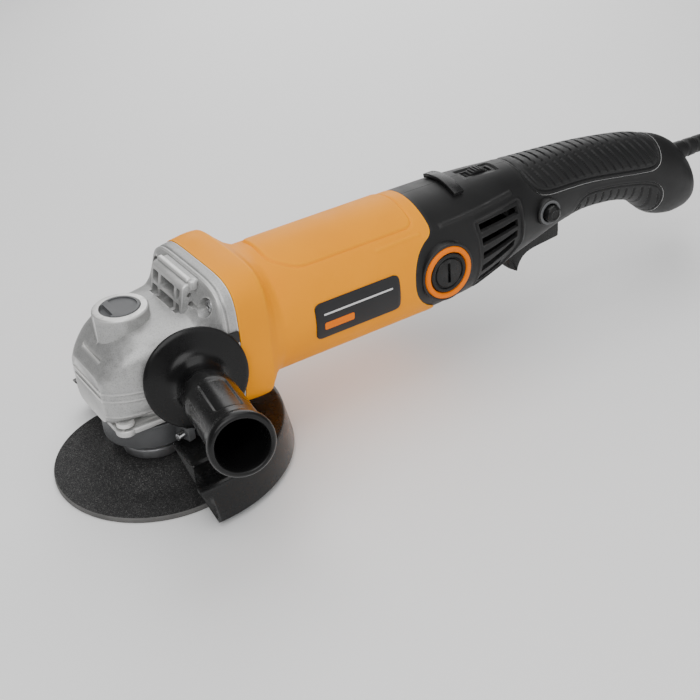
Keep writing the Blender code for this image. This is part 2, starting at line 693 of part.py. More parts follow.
def make_armature():
    axis = at(0, 0, MOTOR_HEIGHT) @ ALONG_X
    shaft = SHAFT_RADIUS
    turned(
        "armature_shaft",
        (
            (0, 199.0), (3.5, 199.0), (3.5, 190.4), (shaft, 190.4), (shaft, 31.6), (3.4, 31.6), (3.4, 16.6),
            (0, 16.6),
        ),
        STEEL, axis, steps=14,
    )
    middle = (STACK_FRONT + STACK_REAR) / 2
    stack = STACK_REAR - STACK_FRONT
    slots = slot_outline(12, 12.0, ARMATURE_RADIUS, 0.66, 0.0)
    core = prism("armature_core", slots, stack, LAMINATION, axis @ at(0, 0, middle))
    cut(core, rod("core_bore", shaft + GAP, 0, 300, None, axis, 14))
    coils = turned(
        "armature_windings",
        (
            (shaft + GAP, STACK_REAR + 10), (16, STACK_REAR + 10), (19, STACK_REAR + 6),
            (19, STACK_FRONT - 6), (16, STACK_FRONT - 10), (shaft + GAP, STACK_FRONT - 10),
        ),
        COPPER, axis, steps=20, ring=True,
    )
    slots = slot_outline(12, 12.0, ARMATURE_RADIUS + 2.0, 0.66, GAP)
    cut(coils, prism("core_room", slots, stack + 2 * GAP, None, axis @ at(0, 0, middle)))
    turned(
        "commutator",
        (
            (shaft + GAP, 188.0), (COMMUTATOR_RADIUS, 188.0), (COMMUTATOR_RADIUS, 167.0), (13.6, 167.0),
            (13.6, 163.5), (shaft + GAP, 163.5),
        ),
        COPPER, axis, steps=24, ring=True,
    )
    fan = turned(
        "cooling_fan",
        (
            (shaft + GAP, 64.0), (9.0, 64.0), (9.0, 50.0), (31.0, 48.0), (31.0, 46.6), (9.0, 46.6),
            (shaft + GAP, 46.6),
        ),
        BLACK_PLASTIC, axis, steps=20, ring=True,
    )
    verts = []
    faces = []
    for k in range(9):
        turn = Matrix.Rotation(2 * pi * k / 9, 4, "Z")
        first = len(verts)
        for z in (47.2, 60.0):
            for x, y in ((8.0, -0.9), (30.4, -0.9), (30.4, 0.9), (8.0, 0.9)):
                verts.append(turn @ Vector((x, y, z)))
        faces += [tuple(first + i for i in ring) for ring in (
            (0, 3, 2, 1), (4, 5, 6, 7), (0, 1, 5, 4), (1, 2, 6, 5), (2, 3, 7, 6), (3, 0, 4, 7))]
    join(fan, mesh_object("fan_blades", verts, faces, None, axis))
    toward_spindle = at(0, 0, MOTOR_HEIGHT) @ Matrix.Rotation(-pi / 2, 4, "Y")
    bevel_gear(
        "pinion", PINION_TEETH, CROWN_TEETH,
        ((3.4 + GAP, -16.2),),
        ((5.9, -24.5), (5.9, -31.2), (3.4 + GAP, -31.2)),
        GEAR_STEEL, toward_spindle @ Matrix.Rotation(pi, 4, "Z"),
    )
    for name, low, high, inner, outer in (
        ("front_bearing", 32.1, 40.8, shaft + GAP, 12.7),
        ("rear_bearing", REAR_WEB[0] + 0.8, 198.9, 3.5 + GAP, 11.0),
    ):
        step = (outer - inner) * 0.28
        turned(
            name,
            (
                (inner, high), (inner + step, high - 0.5), (outer - step, high - 0.5), (outer, high),
                (outer, low), (outer - step, low + 0.5), (inner + step, low + 0.5), (inner, low),
            ),
            BEARING, axis, ring=True, steps=20,
        )


def make_brush_parts():
    for side, label in ((-1, "left"), (1, "right")):
        place = facing((BRUSH_X, 0, MOTOR_HEIGHT), (0, side, 0))
        start = COMMUTATOR_RADIUS + GAP
        block("carbon_brush_" + label, (-2.5, -4.0, start), (2.5, 4.0, 22.0), CARBON, place)
        coil_spring("brush_spring_" + label, 2.1, 0.35, 22.3, 28.6, 4, SPRING,
                    Matrix.Translation(place.translation / MM) @ place.to_3x3().to_4x4())
        cap = turned(
            "brush_cap_" + label,
            (
                (0, 29.0), (3.0, 29.0), (3.0, 24.2), (6.8, 24.2), (6.8, 31.8), (11.9, 31.8), (11.9, 37.6),
                (11.2, 38.4), (9.8, 38.4), (9.5, 37.6), (8.7, 37.6), (8.4, 38.4), (0, 38.4),
            )[::-1],
            BLACK_PLASTIC, place, steps=16,
        )
        cut(cap, block("cap_slot_" + label, (-0.9, -6.4, 36.2), (0.9, 6.4, 45.0), None, place))
        turned(
            "brush_ring_" + label,
            ((12.4, 38.6), (13.2, 39.2), (14.8, 39.2), (15.9, 38.2), (15.9, 35.6), (12.4, 35.6)),
            ORANGE, place, steps=20, ring=True,
        )


def pad_region(name, outline, depth):
    region = prism(name, outline, 120.0, None, UPRIGHT)
    cut(region, loft(name + "_floor", REAR_SECTIONS, None, inset=depth))
    return region


def make_rear_shell(label, side):
    body = loft("rear_shell_" + label, REAR_SECTIONS, SATIN)
    rear = prism("rear_region_" + label, BODY_JOINT, 200.0, None, at(GAP, 0, 0) @ UPRIGHT)
    keep_inside(body, rear)
    across = facing((BRUSH_X, 0, MOTOR_HEIGHT), (0, side, 0))
    join(body, rod("brush_lobe_" + label, 17.4, 20.0, 36.9, None, across, 20))
    lock_x, lock_z = LOCK_ON_CENTRE
    lock_axis = facing((lock_x, 0, lock_z), (0, -1, 0))
    if side < 0:
        join(body, rod("lock_on_collar", 8.0, 16.0, 28.4, None, lock_axis, 14))
    axis = at(0, 0, MOTOR_HEIGHT) @ ALONG_X
    front = rod("front_chamber_" + label, 34.2, 140.0, REAR_WEB[0], None, axis, 32)
    cut(body, front)
    cut(body, loft("rear_chamber_" + label, REAR_CAVITY, None, 16))
    guide = ((0, 36.0), (17.4, 36.0), (17.4, 29.4), (8.6, 29.4), (8.6, 13.6), (0, 13.6))
    join(body, turned("brush_guide_" + label, guide, None, across, 16))
    for k, (x, z) in enumerate(SHELL_SCREWS):
        way = facing((x, 0, z), (0, side, 0))
        join(body, rod("shell_post_%d_%s" % (k, label), 4.2, 0.0, SHELL_POST_REACH[side][k], None, way, 10))
    px, pz = TRIGGER_PIVOT
    dx, dz = DIAL_CENTRE
    ribs = (
        ((px - 4.5, 9.0, pz - 3.5), (px + 5.0, 15.0, pz + 6.0)),
        ((245.0, 9.4, 66.0), (249.0, 22.4, 87.0)),
        ((280.0, 9.4, 66.0), (284.0, 18.0, 92.0)),
        ((dx - 4.0, 5.0, dz - 4.0), (dx + 4.0, 9.0, dz + 6.4)),
    )
    for k, (low, high) in enumerate(ribs):
        span = sorted((low[1] * side, high[1] * side))
        corners = ((low[0], span[0], low[2]), (high[0], span[1], high[2]))
        join(body, block("rib_%d_%s" % (k, label), *corners, None))
    half = sorted((GAP / 2 * side, -120.0 * side))
    cut(body, block("other_half_" + label, (100, half[0], -10), (450, half[1], 150), None))
    cut(body, rod("bearing_room_" + label, 11.3, 180.0, 199.2, None, axis, 20))
    cut(body, rod("shaft_room_" + label, 8.0, 180.0, 220.0, None, axis, 12))
    room = (
        (0, 60), (16.2, 60), (16.2, 35.3), (12.2, 35.3), (12.2, 31.5), (7.1, 31.5), (7.1, 23.9), (0, 23.9),
    )
    cut(body, turned("cap_room_" + label, room, None, across, 20))
    cut(body, block("brush_way_" + label, (-2.8, -4.3, 5.0), (2.8, 4.3, 40.0), None, across))
    for k, (x, z) in enumerate(SHELL_SCREWS):
        way = facing((x, 0, z), (0, 1, 0))
        cut(body, rod("shell_way_%d_%s" % (k, label), SCREW_SHANK + GAP, -9.0, 60.0, None, way, 8))
        if side > 0:
            floor = SHELL_HEAD_Y[k] - 0.4 - GAP
            cut(body, rod("shell_sink_%d" % k, SCREW_HEAD + 0.5, floor, 60.0, None, way, 12))
    pivot = facing((px, 0, pz), (0, 1, 0))
    cut(body, rod("trigger_seat_" + label, 2.5 + GAP, -11.4, 11.4, None, pivot, 12))
    cut(body, block("trigger_way_" + label, (242.6, -8.5, 15.0), (285.0, 8.5, 63.0), None))
    cut(body, block("dial_way_" + label, (dx - 9.8, -3.5, 82.0), (dx + 9.8, 3.5, 115.0), None))
    cut(body, rod("dial_seat_" + label, 2.0 + GAP, -8.0, 8.0, None, facing((dx, 0, dz), (0, 1, 0)), 10))
    cut(body, rod("boot_way_" + label, 6.2 + GAP, 370.0, 430.0, None, at(0, 0, CORD_HEIGHT) @ ALONG_X, 14))
    for k in range(5):
        low = 51.4 + 9.3 * k
        span = sorted((24.0 * side, 50.0 * side))
        corners = ((207.0, span[0], low), (236.0, span[1], low + 5.4))
        cut(body, block("vent_%d_%s" % (k, label), *corners, None))
    if side < 0:
        cut(body, rod("lock_on_way", 5.5, 5.0, 60.0, None, lock_axis, 14))
    cut(body, pad_region("upper_room_" + label, UPPER_PAD, PAD_DEPTH + GAP))
    cut(body, pad_region("lower_room_" + label, LOWER_PAD, PAD_DEPTH + GAP))
    return body


def shrink_outline(outline, by):
    """The outline with each point moved towards the inside by about the given amount."""
    result = []
    count = len(outline)
    for i in range(count):
        before = Vector(outline[i - 1])
        here = Vector(outline[i])
        after = Vector(outline[(i + 1) % count])
        one = (here - before).normalized()
        two = (after - here).normalized()
        inward = Vector((-one.y, one.x)) + Vector((-two.y, two.x))
        scale = by / max(0.5, (1 + one.dot(two)) / 2) / inward.length
        result.append(tuple(here + inward * scale))
    return result


def make_grip_pads():
    for name, outline in (("grip_pad_upper", UPPER_PAD), ("grip_pad_lower", LOWER_PAD)):
        pad = loft(name, REAR_SECTIONS, RUBBER)
        keep_inside(pad, prism(name + "_region", shrink_outline(outline, GAP), 110.0, None, UPRIGHT))
        cut(pad, loft(name + "_under", REAR_SECTIONS, None, inset=PAD_DEPTH))


def make_controls():
    px, pz = TRIGGER_PIVOT
    pivot = facing((px, 0, pz), (0, 1, 0))
    outline = [(x - px, z - pz) for x, z in TRIGGER_OUTLINE]
    trigger = prism("trigger", outline, 2 * TRIGGER_HALF_WIDTH, BLACK_PLASTIC, at(px, 0, pz) @ UPRIGHT)
    join(trigger, rod("trigger_pivot", 2.5, -11.0, 11.0, None, pivot, 12))
    coil_spring("trigger_spring", 3.0, 0.45, 60.4, 68.2, 4, SPRING, Matrix.Translation((272.0, 0, 0)))
    switch = block("switch_body", (242.0, -9.0, 68.6), (288.0, 9.0, 90.0), SATIN)
    edge = switch.modifiers.new("edges", "BEVEL")
    edge.width = 0.8 * MM
    edge.segments = 1
    x, z = LOCK_ON_CENTRE
    turned(
        "lock_on_button",
        ((0, 12.8), (3.0, 12.8), (3.0, 20.0), (5.2, 20.0), (5.2, 32.6), (4.4, 33.6), (0, 33.6))[::-1],
        BLACK_PLASTIC, facing((x, 0, z), (0, -1, 0)), steps=14,
    )
    x, z = DIAL_CENTRE
    dial = rod("speed_dial", DIAL_RADIUS, -3.0, 3.0, BLACK_PLASTIC, facing((x, 0, z), (0, 1, 0)), 24)
    join(dial, rod("dial_axle", 2.0, -7.6, 7.6, None, facing((x, 0, z), (0, 1, 0)), 10))


def make_clip():
    place = at(0, 0, 68.3) @ ALONG_X
    clip = tube("seam_clip", 38.4, 36.0, 196.5, 203.5, BLACK_PLASTIC, place, 48)
    low = radians(50)
    high = radians(112)
    wedge = ((0, 0), (-90 * cos(low), 90 * sin(low)), (-90 * cos(high), 90 * sin(high)))
    keep_inside(clip, prism("clip_reach", wedge, 40.0, None, place @ at(0, 0, 200)))


def make_fasteners():
    for k, (y, z) in enumerate(head_screw_points()):
        screw("head_screw_%d" % (k + 1), (32.7, y, z), (1, 0, 0), 20.0, STEEL)
    for k, (x, y) in enumerate(plate_screw_points()):
        screw("plate_screw_%d" % (k + 1), (x, y, NECK_TOP), (0, 0, 1), 12.0, STEEL)
    for k, (x, z) in enumerate(SHELL_SCREWS):
        head = SHELL_HEAD_Y[k]
        screw("shell_screw_%d" % (k + 1), (x, head - 0.4, z), (0, -1, 0), head + 7.0, STEEL)


def make_cord_parts():
    axis = at(0, 0, CORD_HEIGHT) @ ALONG_X
    profile = [(0, 340.0), (CORD_RADIUS, 340.0), (CORD_RADIUS, 371.0), (7.4, 371.0), (7.4, 374.5)]
    profile += [(6.2, 374.5), (6.2, 392.0)]
    for k in range(4):
        x = 396.0 + 9.0 * k
        radius = 6.1 - 0.28 * k
        profile += [(radius, x), (radius - 0.7, x + 1.0), (radius - 0.7, x + 2.4), (radius - 0.1, x + 3.4)]
    profile += [(4.9, BOOT_END - 0.6), (4.5, BOOT_END), (0, BOOT_END)]
    turned("strain_relief", profile[::-1], RUBBER, axis, steps=12)
    wide = COIL_TURNS_WIDE * CORD_RADIUS
    high = COIL_TURNS_HIGH * CORD_RADIUS
    low = FLOOR + COIL_LIFT
    centre = low + high
    outer = COIL_RADIUS + wide
    tangent = COIL_CENTRE[1] - outer + CORD_RADIUS
    start = Vector((BOOT_END + GAP, 0, CORD_HEIGHT))
    end = Vector((COIL_CENTRE[0], tangent, low + CORD_RADIUS))
    pull = Vector((CORD_PULL, 0, 0))
    points = []
    for i in range(17):
        t = i / 16 * CORD_SHOWN
        a = 2 * t ** 3 - 3 * t ** 2 + 1
        b = t ** 3 - 2 * t ** 2 + t
        c = 3 * t ** 2 - 2 * t ** 3
        d = t ** 3 - t ** 2
        points.append(start * a + pull * b + end * c + pull * d)
    points[1].z = start.z
    wire("cord", points, CORD_RADIUS, RUBBER, resolution=2)
    profile = []
    for k in range(10):
        angle = pi / 2 - 2 * pi * k / 10
        c = cos(angle)
        s = sin(angle)
        spread = copysign(abs(c) ** 0.45, c) * wide
        profile.append((COIL_RADIUS + spread, centre + copysign(abs(s) ** 0.45, s) * high))
    turned("cord_coil", profile, RUBBER, at(COIL_CENTRE[0], COIL_CENTRE[1], 0), steps=24, ring=True)
    x = COIL_CENTRE[0] + (outer ** 2 - (outer - CORD_RADIUS - PLUG_NECK - GAP) ** 2) ** 0.5
    z = PLUG_HEIGHT
    sections = (
        (x, PLUG_NECK, z - PLUG_NECK, z + PLUG_NECK, 2.0),
        (x + 22, 6.0, z - 6.0, z + 6.0, 2.0),
        (x + 30, 13.0, z - 10.0, z + 10.0, 2.4),
        (x + 38, 17.6, z - 13.0, z + 13.0, 2.8),
        (x + 64, 18.4, z - 13.2, z + 13.2, 3.2),
    )
    plug = loft("plug", sections, RUBBER, 16)
    plug.matrix_world = at(0, tangent, 0)
    for side in (-1, 1):
        axis = at(0, tangent + 9.5 * side, z) @ ALONG_X
        join(plug, rod("plug_pin_%d" % side, 2.4, x + 60, x + 83, None, axis, 10))


def rest_on_floor():
    """Move everything so that the tool, without its cord, stands centred over the origin."""
    graph = bpy.context.evaluated_depsgraph_get()
    low = Vector((1e9, 1e9, 1e9))
    high = -low
    for obj in PARTS.objects:
        if obj.name in CORD_NODES:
            continue
        mesh = obj.evaluated_get(graph).to_mesh()
        for vert in mesh.vertices:
            point = obj.matrix_world @ vert.co
            low = Vector(map(min, low, point))
            high = Vector(map(max, high, point))
    shift = Matrix.Translation((-(low.x + high.x) / 2, -(low.y + high.y) / 2, -low.z))
    for obj in list(PARTS.objects) + list(CUTTERS.objects):
        obj.matrix_world = shift @ obj.matrix_world
    print("shift_mm", [round(v / MM, 4) for v in shift.translation])


clear_scene()
PARTS = collection("angle_grinder")
CUTTERS = collection("cutters", hidden=True)
CAST = material("cast_aluminium", (0.62, 0.62, 0.61), 0.45, 0.85)
STEEL = material("steel", (0.56, 0.57, 0.58), 0.3, 1.0)
DARK_STEEL = material("dark_steel", (0.12, 0.12, 0.125), 0.45, 0.8)
GEAR_STEEL = material("gear_steel", (0.42, 0.42, 0.43), 0.35, 1.0)
BEARING = material("bearing_steel", (0.6, 0.6, 0.62), 0.2, 1.0)
SPRING = material("spring_steel", (0.5, 0.5, 0.52), 0.3, 1.0)
BLACK_PAINT = material("black_paint", (0.02, 0.02, 0.021), 0.3)
BLACK_PLASTIC = material("black_plastic", (0.018, 0.018, 0.019), 0.3)
DARK_PLASTIC = material("dark_grey_plastic", (0.09, 0.09, 0.095), 0.5)
SATIN = material("satin_black_plastic", (0.028, 0.028, 0.029), 0.45)
YELLOW = material("yellow_plastic", (0.95, 0.37, 0.012), 0.35)
ORANGE = material("orange_plastic", (0.95, 0.3, 0.008), 0.35)
RUBBER = material("black_rubber", (0.03, 0.03, 0.03), 0.6)
ABRASIVE = material("abrasive", (0.03, 0.03, 0.03), 0.95)
LAMINATION = material("lamination_steel", (0.3, 0.3, 0.32), 0.5, 0.9)
COPPER = material("copper", (0.72, 0.34, 0.16), 0.35, 0.9)
CARBON = material("carbon", (0.03, 0.03, 0.032), 0.6)

make_gear_housing()
make_bearing_plate()
make_spindle_parts()
make_spindle_lock()
make_guard()
make_side_handle()
make_motor_housing()
make_field()
make_armature()
make_brush_parts()
make_rear_shell("left", -1)
make_rear_shell("right", 1)
make_grip_pads()
make_controls()
make_clip()
make_fasteners()
make_cord_parts()
rest_on_floor()
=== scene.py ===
import json
from math import atan2, cos, pi, radians, sin, sqrt

import bmesh
import bpy
import numpy as np
from mathutils import Matrix, Vector

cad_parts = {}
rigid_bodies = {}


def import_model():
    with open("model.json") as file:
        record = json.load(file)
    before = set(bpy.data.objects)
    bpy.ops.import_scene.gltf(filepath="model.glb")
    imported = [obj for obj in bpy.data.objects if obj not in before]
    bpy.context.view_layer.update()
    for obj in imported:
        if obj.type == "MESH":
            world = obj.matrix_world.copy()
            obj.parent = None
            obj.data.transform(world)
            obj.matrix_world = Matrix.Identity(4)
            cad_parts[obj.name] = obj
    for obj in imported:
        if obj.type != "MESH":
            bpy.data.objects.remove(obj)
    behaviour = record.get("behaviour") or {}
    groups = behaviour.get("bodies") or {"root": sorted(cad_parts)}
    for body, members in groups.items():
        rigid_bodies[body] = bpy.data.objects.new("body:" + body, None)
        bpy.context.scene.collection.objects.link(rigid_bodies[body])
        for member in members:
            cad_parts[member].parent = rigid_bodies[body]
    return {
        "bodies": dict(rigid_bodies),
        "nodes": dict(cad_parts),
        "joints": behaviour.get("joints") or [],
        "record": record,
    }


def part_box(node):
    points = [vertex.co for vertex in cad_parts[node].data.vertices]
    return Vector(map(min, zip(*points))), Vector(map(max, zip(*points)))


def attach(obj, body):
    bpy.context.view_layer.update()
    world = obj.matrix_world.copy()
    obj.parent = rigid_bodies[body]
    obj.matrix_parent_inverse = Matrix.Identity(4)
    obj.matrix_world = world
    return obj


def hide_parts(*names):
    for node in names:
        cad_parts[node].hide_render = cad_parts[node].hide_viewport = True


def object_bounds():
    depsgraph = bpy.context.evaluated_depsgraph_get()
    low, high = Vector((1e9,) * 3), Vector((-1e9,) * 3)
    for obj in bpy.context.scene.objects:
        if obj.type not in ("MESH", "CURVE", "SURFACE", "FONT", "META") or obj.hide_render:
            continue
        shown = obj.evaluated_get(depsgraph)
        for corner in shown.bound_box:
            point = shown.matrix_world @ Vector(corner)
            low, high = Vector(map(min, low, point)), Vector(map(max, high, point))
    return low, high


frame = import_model()
cad_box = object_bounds()

JOINTS = {joint["name"]: joint for joint in frame["joints"]}
SPIN = JOINTS["spindle_spin"]["pos_m"]
# The tool's own origin: on the spindle's axis, level with the top of the wheel's rim
BASE = Vector((SPIN[0], SPIN[1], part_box("grinding_wheel")[0].z + 0.003))
MM = 0.001


# ---------------------------------------------------------------- geometry helpers (millimetres)
def box_mm(node):
    low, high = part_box(node)
    return (low - BASE) / MM, (high - BASE) / MM


def add_mesh(name, verts, faces, finish=None, angle=35.0):
    data = bpy.data.meshes.new(name)
    points = np.asarray(verts, float) * MM + np.array(BASE)
    data.from_pydata(points.tolist(), [], [tuple(int(i) for i in f) for f in faces])
    data.validate()
    model = bmesh.new()
    model.from_mesh(data)
    bmesh.ops.recalc_face_normals(model, faces=model.faces)
    model.to_mesh(data)
    model.free()
    data.shade_smooth()
    data.set_sharp_from_angle(angle=radians(angle))
    obj = bpy.data.objects.new(name, data)
    bpy.context.scene.collection.objects.link(obj)
    if finish is not None:
        data.materials.append(finish)
    return obj


def grid_faces(rows, columns, closed=True):
    faces = []
    for r in range(rows - 1):
        for c in range(columns if closed else columns - 1):
            d = (c + 1) % columns
            faces.append((r * columns + c, r * columns + d, (r + 1) * columns + d, (r + 1) * columns + c))
    return faces


def rounded(points, radius, steps=4, closed=False):
    """The line with its corners rounded; radius is one number, or one for each point."""
    count = len(points)
    result = []
    for i in range(count):
        here = Vector(points[i]).to_2d()
        size = radius[i] if isinstance(radius, (list, tuple)) else radius
        if size <= 0 or (not closed and i in (0, count - 1)):
            result.append(tuple(here))
            continue
        before = Vector(points[i - 1]).to_2d() - here
        after = Vector(points[(i + 1) % count]).to_2d() - here
        a = here + before.normalized() * min(size, before.length * 0.48)
        b = here + after.normalized() * min(size, after.length * 0.48)
        for k in range(steps + 1):
            t = k / steps
            result.append(tuple(a * (1 - t) ** 2 + here * 2 * t * (1 - t) + b * t * t))
    return result


def facing(point, direction):
    turn = Vector(direction).to_track_quat("Z", "Y").to_matrix().to_4x4()
    return Matrix.Translation(point) @ turn


def along_x(height=0.0):
    return Matrix.Translation((0, 0, height)) @ Matrix(((0, 0, 1, 0), (1, 0, 0, 0), (0, 1, 0, 0), (0, 0, 0, 1)))


def placed(points, place):
    m = np.array(place, float)
    return np.asarray(points, float) @ m[:3, :3].T + m[:3, 3]


def lathe(name, profile, finish, place=Matrix(), steps=96, arc=None, angle=35.0):
    """Turns a closed profile of (radius, height) about local Z; arc is (start, end) in degrees."""
    full = arc is None
    start, end = (0.0, 360.0) if full else arc
    count = steps if full else steps + 1
    verts = []
    for k in range(count):
        turn = radians(start + (end - start) * k / steps)
        for r, z in profile:
            verts.append((r * cos(turn), r * sin(turn), z))
    n = len(profile)
    faces = []
    for k in range(steps):
        a = k * n
        b = ((k + 1) % count) * n
        for i in range(n):
            j = (i + 1) % n
            faces.append((a + i, a + j, b + j, b + i))
    if not full:
        faces.append(tuple(range(n)))
        faces.append(tuple(range((count - 1) * n, count * n)))
    obj = add_mesh(name, placed(verts, place), faces, None, angle)
    model = bmesh.new()
    model.from_mesh(obj.data)
    bmesh.ops.remove_doubles(model, verts=model.verts, dist=1e-7)
    bmesh.ops.recalc_face_normals(model, faces=model.faces)
    model.to_mesh(obj.data)
    model.free()
    obj.data.set_sharp_from_angle(angle=radians(angle))
    if finish is not None:
        obj.data.materials.append(finish)
    return obj


def plate(name, outline, low, high, finish, place=Matrix(), edge=0.0, angle=35.0):
    """A flat outline between two heights along local Z, with a rounded rim of the given size."""
    n = len(outline)
    rings = [(0.0, low), (0.0, high)]
    if edge > 0:
        rings = []
        for k in range(4):
            t = k / 3 * pi / 2
            rings.append((edge * (1 - sin(t)), low + edge * (1 - cos(t))))
        for k in range(4):
            t = k / 3 * pi / 2
            rings.append((edge * (1 - cos(t)), high - edge * (1 - sin(t))))
    verts = []
    points = np.array([Vector(p).to_2d() for p in outline])
    ahead = np.roll(points, -1, 0) - points
    behind = points - np.roll(points, 1, 0)
    area = np.sum(points[:, 0] * np.roll(points[:, 1], -1) - np.roll(points[:, 0], -1) * points[:, 1])
    sign = 1.0 if area > 0 else -1.0
    ahead /= np.linalg.norm(ahead, axis=1)[:, None] + 1e-12
    behind /= np.linalg.norm(behind, axis=1)[:, None] + 1e-12
    inward = np.stack((-(ahead + behind)[:, 1], (ahead + behind)[:, 0]), 1) * sign
    inward /= np.linalg.norm(inward, axis=1)[:, None] + 1e-12
    for inset, height in rings:
        moved = points + inward * inset
        verts += [(x, y, height) for x, y in moved]
    faces = grid_faces(len(rings), n)
    faces.append(tuple(range(n)))
    faces.append(tuple(range((len(rings) - 1) * n, len(rings) * n)))
    return add_mesh(name, placed(verts, place), faces, finish, angle)


def block(name, low, high, finish=None, place=Matrix(), edge=0.0):
    outline = ((low[0], low[1]), (high[0], low[1]), (high[0], high[1]), (low[0], high[1]))
    if edge > 0:
        outline = rounded(outline, edge, 3, closed=True)
    return plate(name, outline, low[2], high[2], finish, place, edge * 0.6)


def slopes(x, y):
    """Slopes for a smooth curve through the points that never overshoots them."""
    h = np.diff(x)
    d = np.diff(y) / h
    m = np.zeros(len(x))
    m[0] = d[0]
    m[-1] = d[-1]
    for i in range(1, len(x) - 1):
        if d[i - 1] * d[i] > 0:
            a = 2 * h[i] + h[i - 1]
            b = h[i] + 2 * h[i - 1]
            m[i] = (a + b) / (a / d[i - 1] + b / d[i])
    return m


def curve_at(x, y, at):
    x = np.asarray(x, float)
    y = np.asarray(y, float)
    m = slopes(x, y)
    at = np.clip(at, x[0], x[-1])
    i = np.clip(np.searchsorted(x, at) - 1, 0, len(x) - 2)
    h = x[i + 1] - x[i]
    t = (at - x[i]) / h
    return (y[i] * (2 * t ** 3 - 3 * t ** 2 + 1) + m[i] * h * (t ** 3 - 2 * t ** 2 + t)
            + y[i + 1] * (3 * t ** 2 - 2 * t ** 3) + m[i + 1] * h * (t ** 3 - t ** 2))


def loft(name, sections, stations, finish, sides=128, relief=None, inset=0.0, angle=35.0):
    """A body along X through sections of (x, half width, low z, high z, squareness).

    relief takes arrays of x, y, z and gives how far each surface point stands out.
    """
    table = np.array(sections, float)
    stations = np.asarray(stations, float)
    width, low, high, power = (curve_at(table[:, 0], table[:, k], stations) for k in (1, 2, 3, 4))
    quarter = sides // 4
    fine = np.linspace(0, pi / 2, 361)
    rows_y = []
    rows_z = []
    for w, lo, hi, p in zip(width, low, high, power):
        half = (hi - lo) / 2 - inset
        side_y = np.cos(fine) ** (2 / p) * (w - inset)
        side_z = np.abs(np.sin(fine)) ** (2 / p) * half
        run = np.concatenate(([0.0], np.cumsum(np.hypot(np.diff(side_y), np.diff(side_z)))))
        spots = np.linspace(0, run[-1], quarter + 1)[:-1]
        a = np.interp(spots, run, side_y)
        b = np.interp(spots, run, side_z)
        back = run[-1] - spots
        a2 = np.interp(back, run, side_y)
        b2 = np.interp(back, run, side_z)
        rows_y.append(np.concatenate((a, -a2, -a, a2)))
        rows_z.append((lo + hi) / 2 + np.concatenate((b, b2, -b, -b2)))
    y = np.array(rows_y)
    z = np.array(rows_z)
    x = np.repeat(stations[:, None], sides, 1)
    if relief is not None:
        dy = np.roll(y, -1, 1) - np.roll(y, 1, 1)
        dz = np.roll(z, -1, 1) - np.roll(z, 1, 1)
        size = np.sqrt(dy ** 2 + dz ** 2) + 1e-9
        out = relief(x, y, z)
        y, z = y + dz / size * out, z - dy / size * out
    verts = np.stack((x, y, z), 2).reshape(-1, 3)
    rows = len(stations)
    faces = grid_faces(rows, sides)
    faces.append(tuple(range(sides)))
    faces.append(tuple(range((rows - 1) * sides, rows * sides)))
    return add_mesh(name, verts, faces, finish, angle)


def combine(obj, other, operation="DIFFERENCE", solver="EXACT", keep=False):
    """Cuts or joins at once, and removes the other piece."""
    step = obj.modifiers.new("step", "BOOLEAN")
    step.operation = operation
    step.solver = solver
    step.object = other
    graph = bpy.context.evaluated_depsgraph_get()
    graph.update()
    made = bpy.data.meshes.new_from_object(obj.evaluated_get(graph))
    obj.modifiers.clear()
    old = obj.data
    name = old.name
    obj.data = made
    bpy.data.meshes.remove(old)
    made.name = name
    if not keep:
        bpy.data.objects.remove(other)
    return obj


def cut(obj, *others, solver="EXACT"):
    for other in others:
        combine(obj, other, "DIFFERENCE", solver)
    return obj


def join(obj, *others, solver="EXACT"):
    for other in others:
        combine(obj, other, "UNION", solver)
    return obj


def sharpen(obj, angle=30.0):
    obj.data.shade_smooth()
    obj.data.set_sharp_from_angle(angle=radians(angle))
    return obj


def soften(obj, width, angle=35.0, segments=2):
    """Rounds the sharp edges."""
    step = obj.modifiers.new("edges", "BEVEL")
    step.width = width * MM
    step.segments = segments
    step.limit_method = "ANGLE"
    step.angle_limit = radians(angle)
    step.use_clamp_overlap = True
    step.harden_normals = True
    graph = bpy.context.evaluated_depsgraph_get()
    graph.update()
    made = bpy.data.meshes.new_from_object(obj.evaluated_get(graph))
    obj.modifiers.clear()
    obj.data = made
    return obj


def outline_distance(x, z, outline):
    """Distance of each point inside a side-view outline: above 0 inside, below 0 outside."""
    points = np.asarray(outline, float)
    best = np.full(x.shape, 1e9)
    inside = np.zeros(x.shape, bool)
    for i in range(len(points)):
        ax, az = points[i]
        bx, bz = points[(i + 1) % len(points)]
        t = np.clip(((x - ax) * (bx - ax) + (z - az) * (bz - az)) / ((bx - ax) ** 2 + (bz - az) ** 2 + 1e-12), 0, 1)
        best = np.minimum(best, np.hypot(x - ax - t * (bx - ax), z - az - t * (bz - az)))
        crosses = ((az > z) != (bz > z)) & (x < (bx - ax) * (z - az) / (bz - az + 1e-12) + ax)
        inside ^= crosses
    return np.where(inside, best, -best)


def ramp(value, low, high):
    t = np.clip((value - low) / (high - low), 0, 1)
    return t * t * (3 - 2 * t)


# ---------------------------------------------------------------- materials
def nodes_of(name):
    shade = bpy.data.materials.new(name)
    shade.use_nodes = True
    tree = shade.node_tree
    return shade, tree, tree.nodes["Principled BSDF"]


def texture(tree, kind, scale, vector, **sockets):
    node = tree.nodes.new(kind)
    node.inputs["Scale"].default_value = scale
    for key, value in sockets.items():
        node.inputs[key.replace("_", " ")].default_value = value
    tree.links.new(vector, node.inputs["Vector"])
    return node


def span(tree, value, low, high, to_low, to_high):
    node = tree.nodes.new("ShaderNodeMapRange")
    for key, number in (("From Min", low), ("From Max", high), ("To Min", to_low), ("To Max", to_high)):
        node.inputs[key].default_value = number
    tree.links.new(value, node.inputs["Value"])
    return node.outputs["Result"]


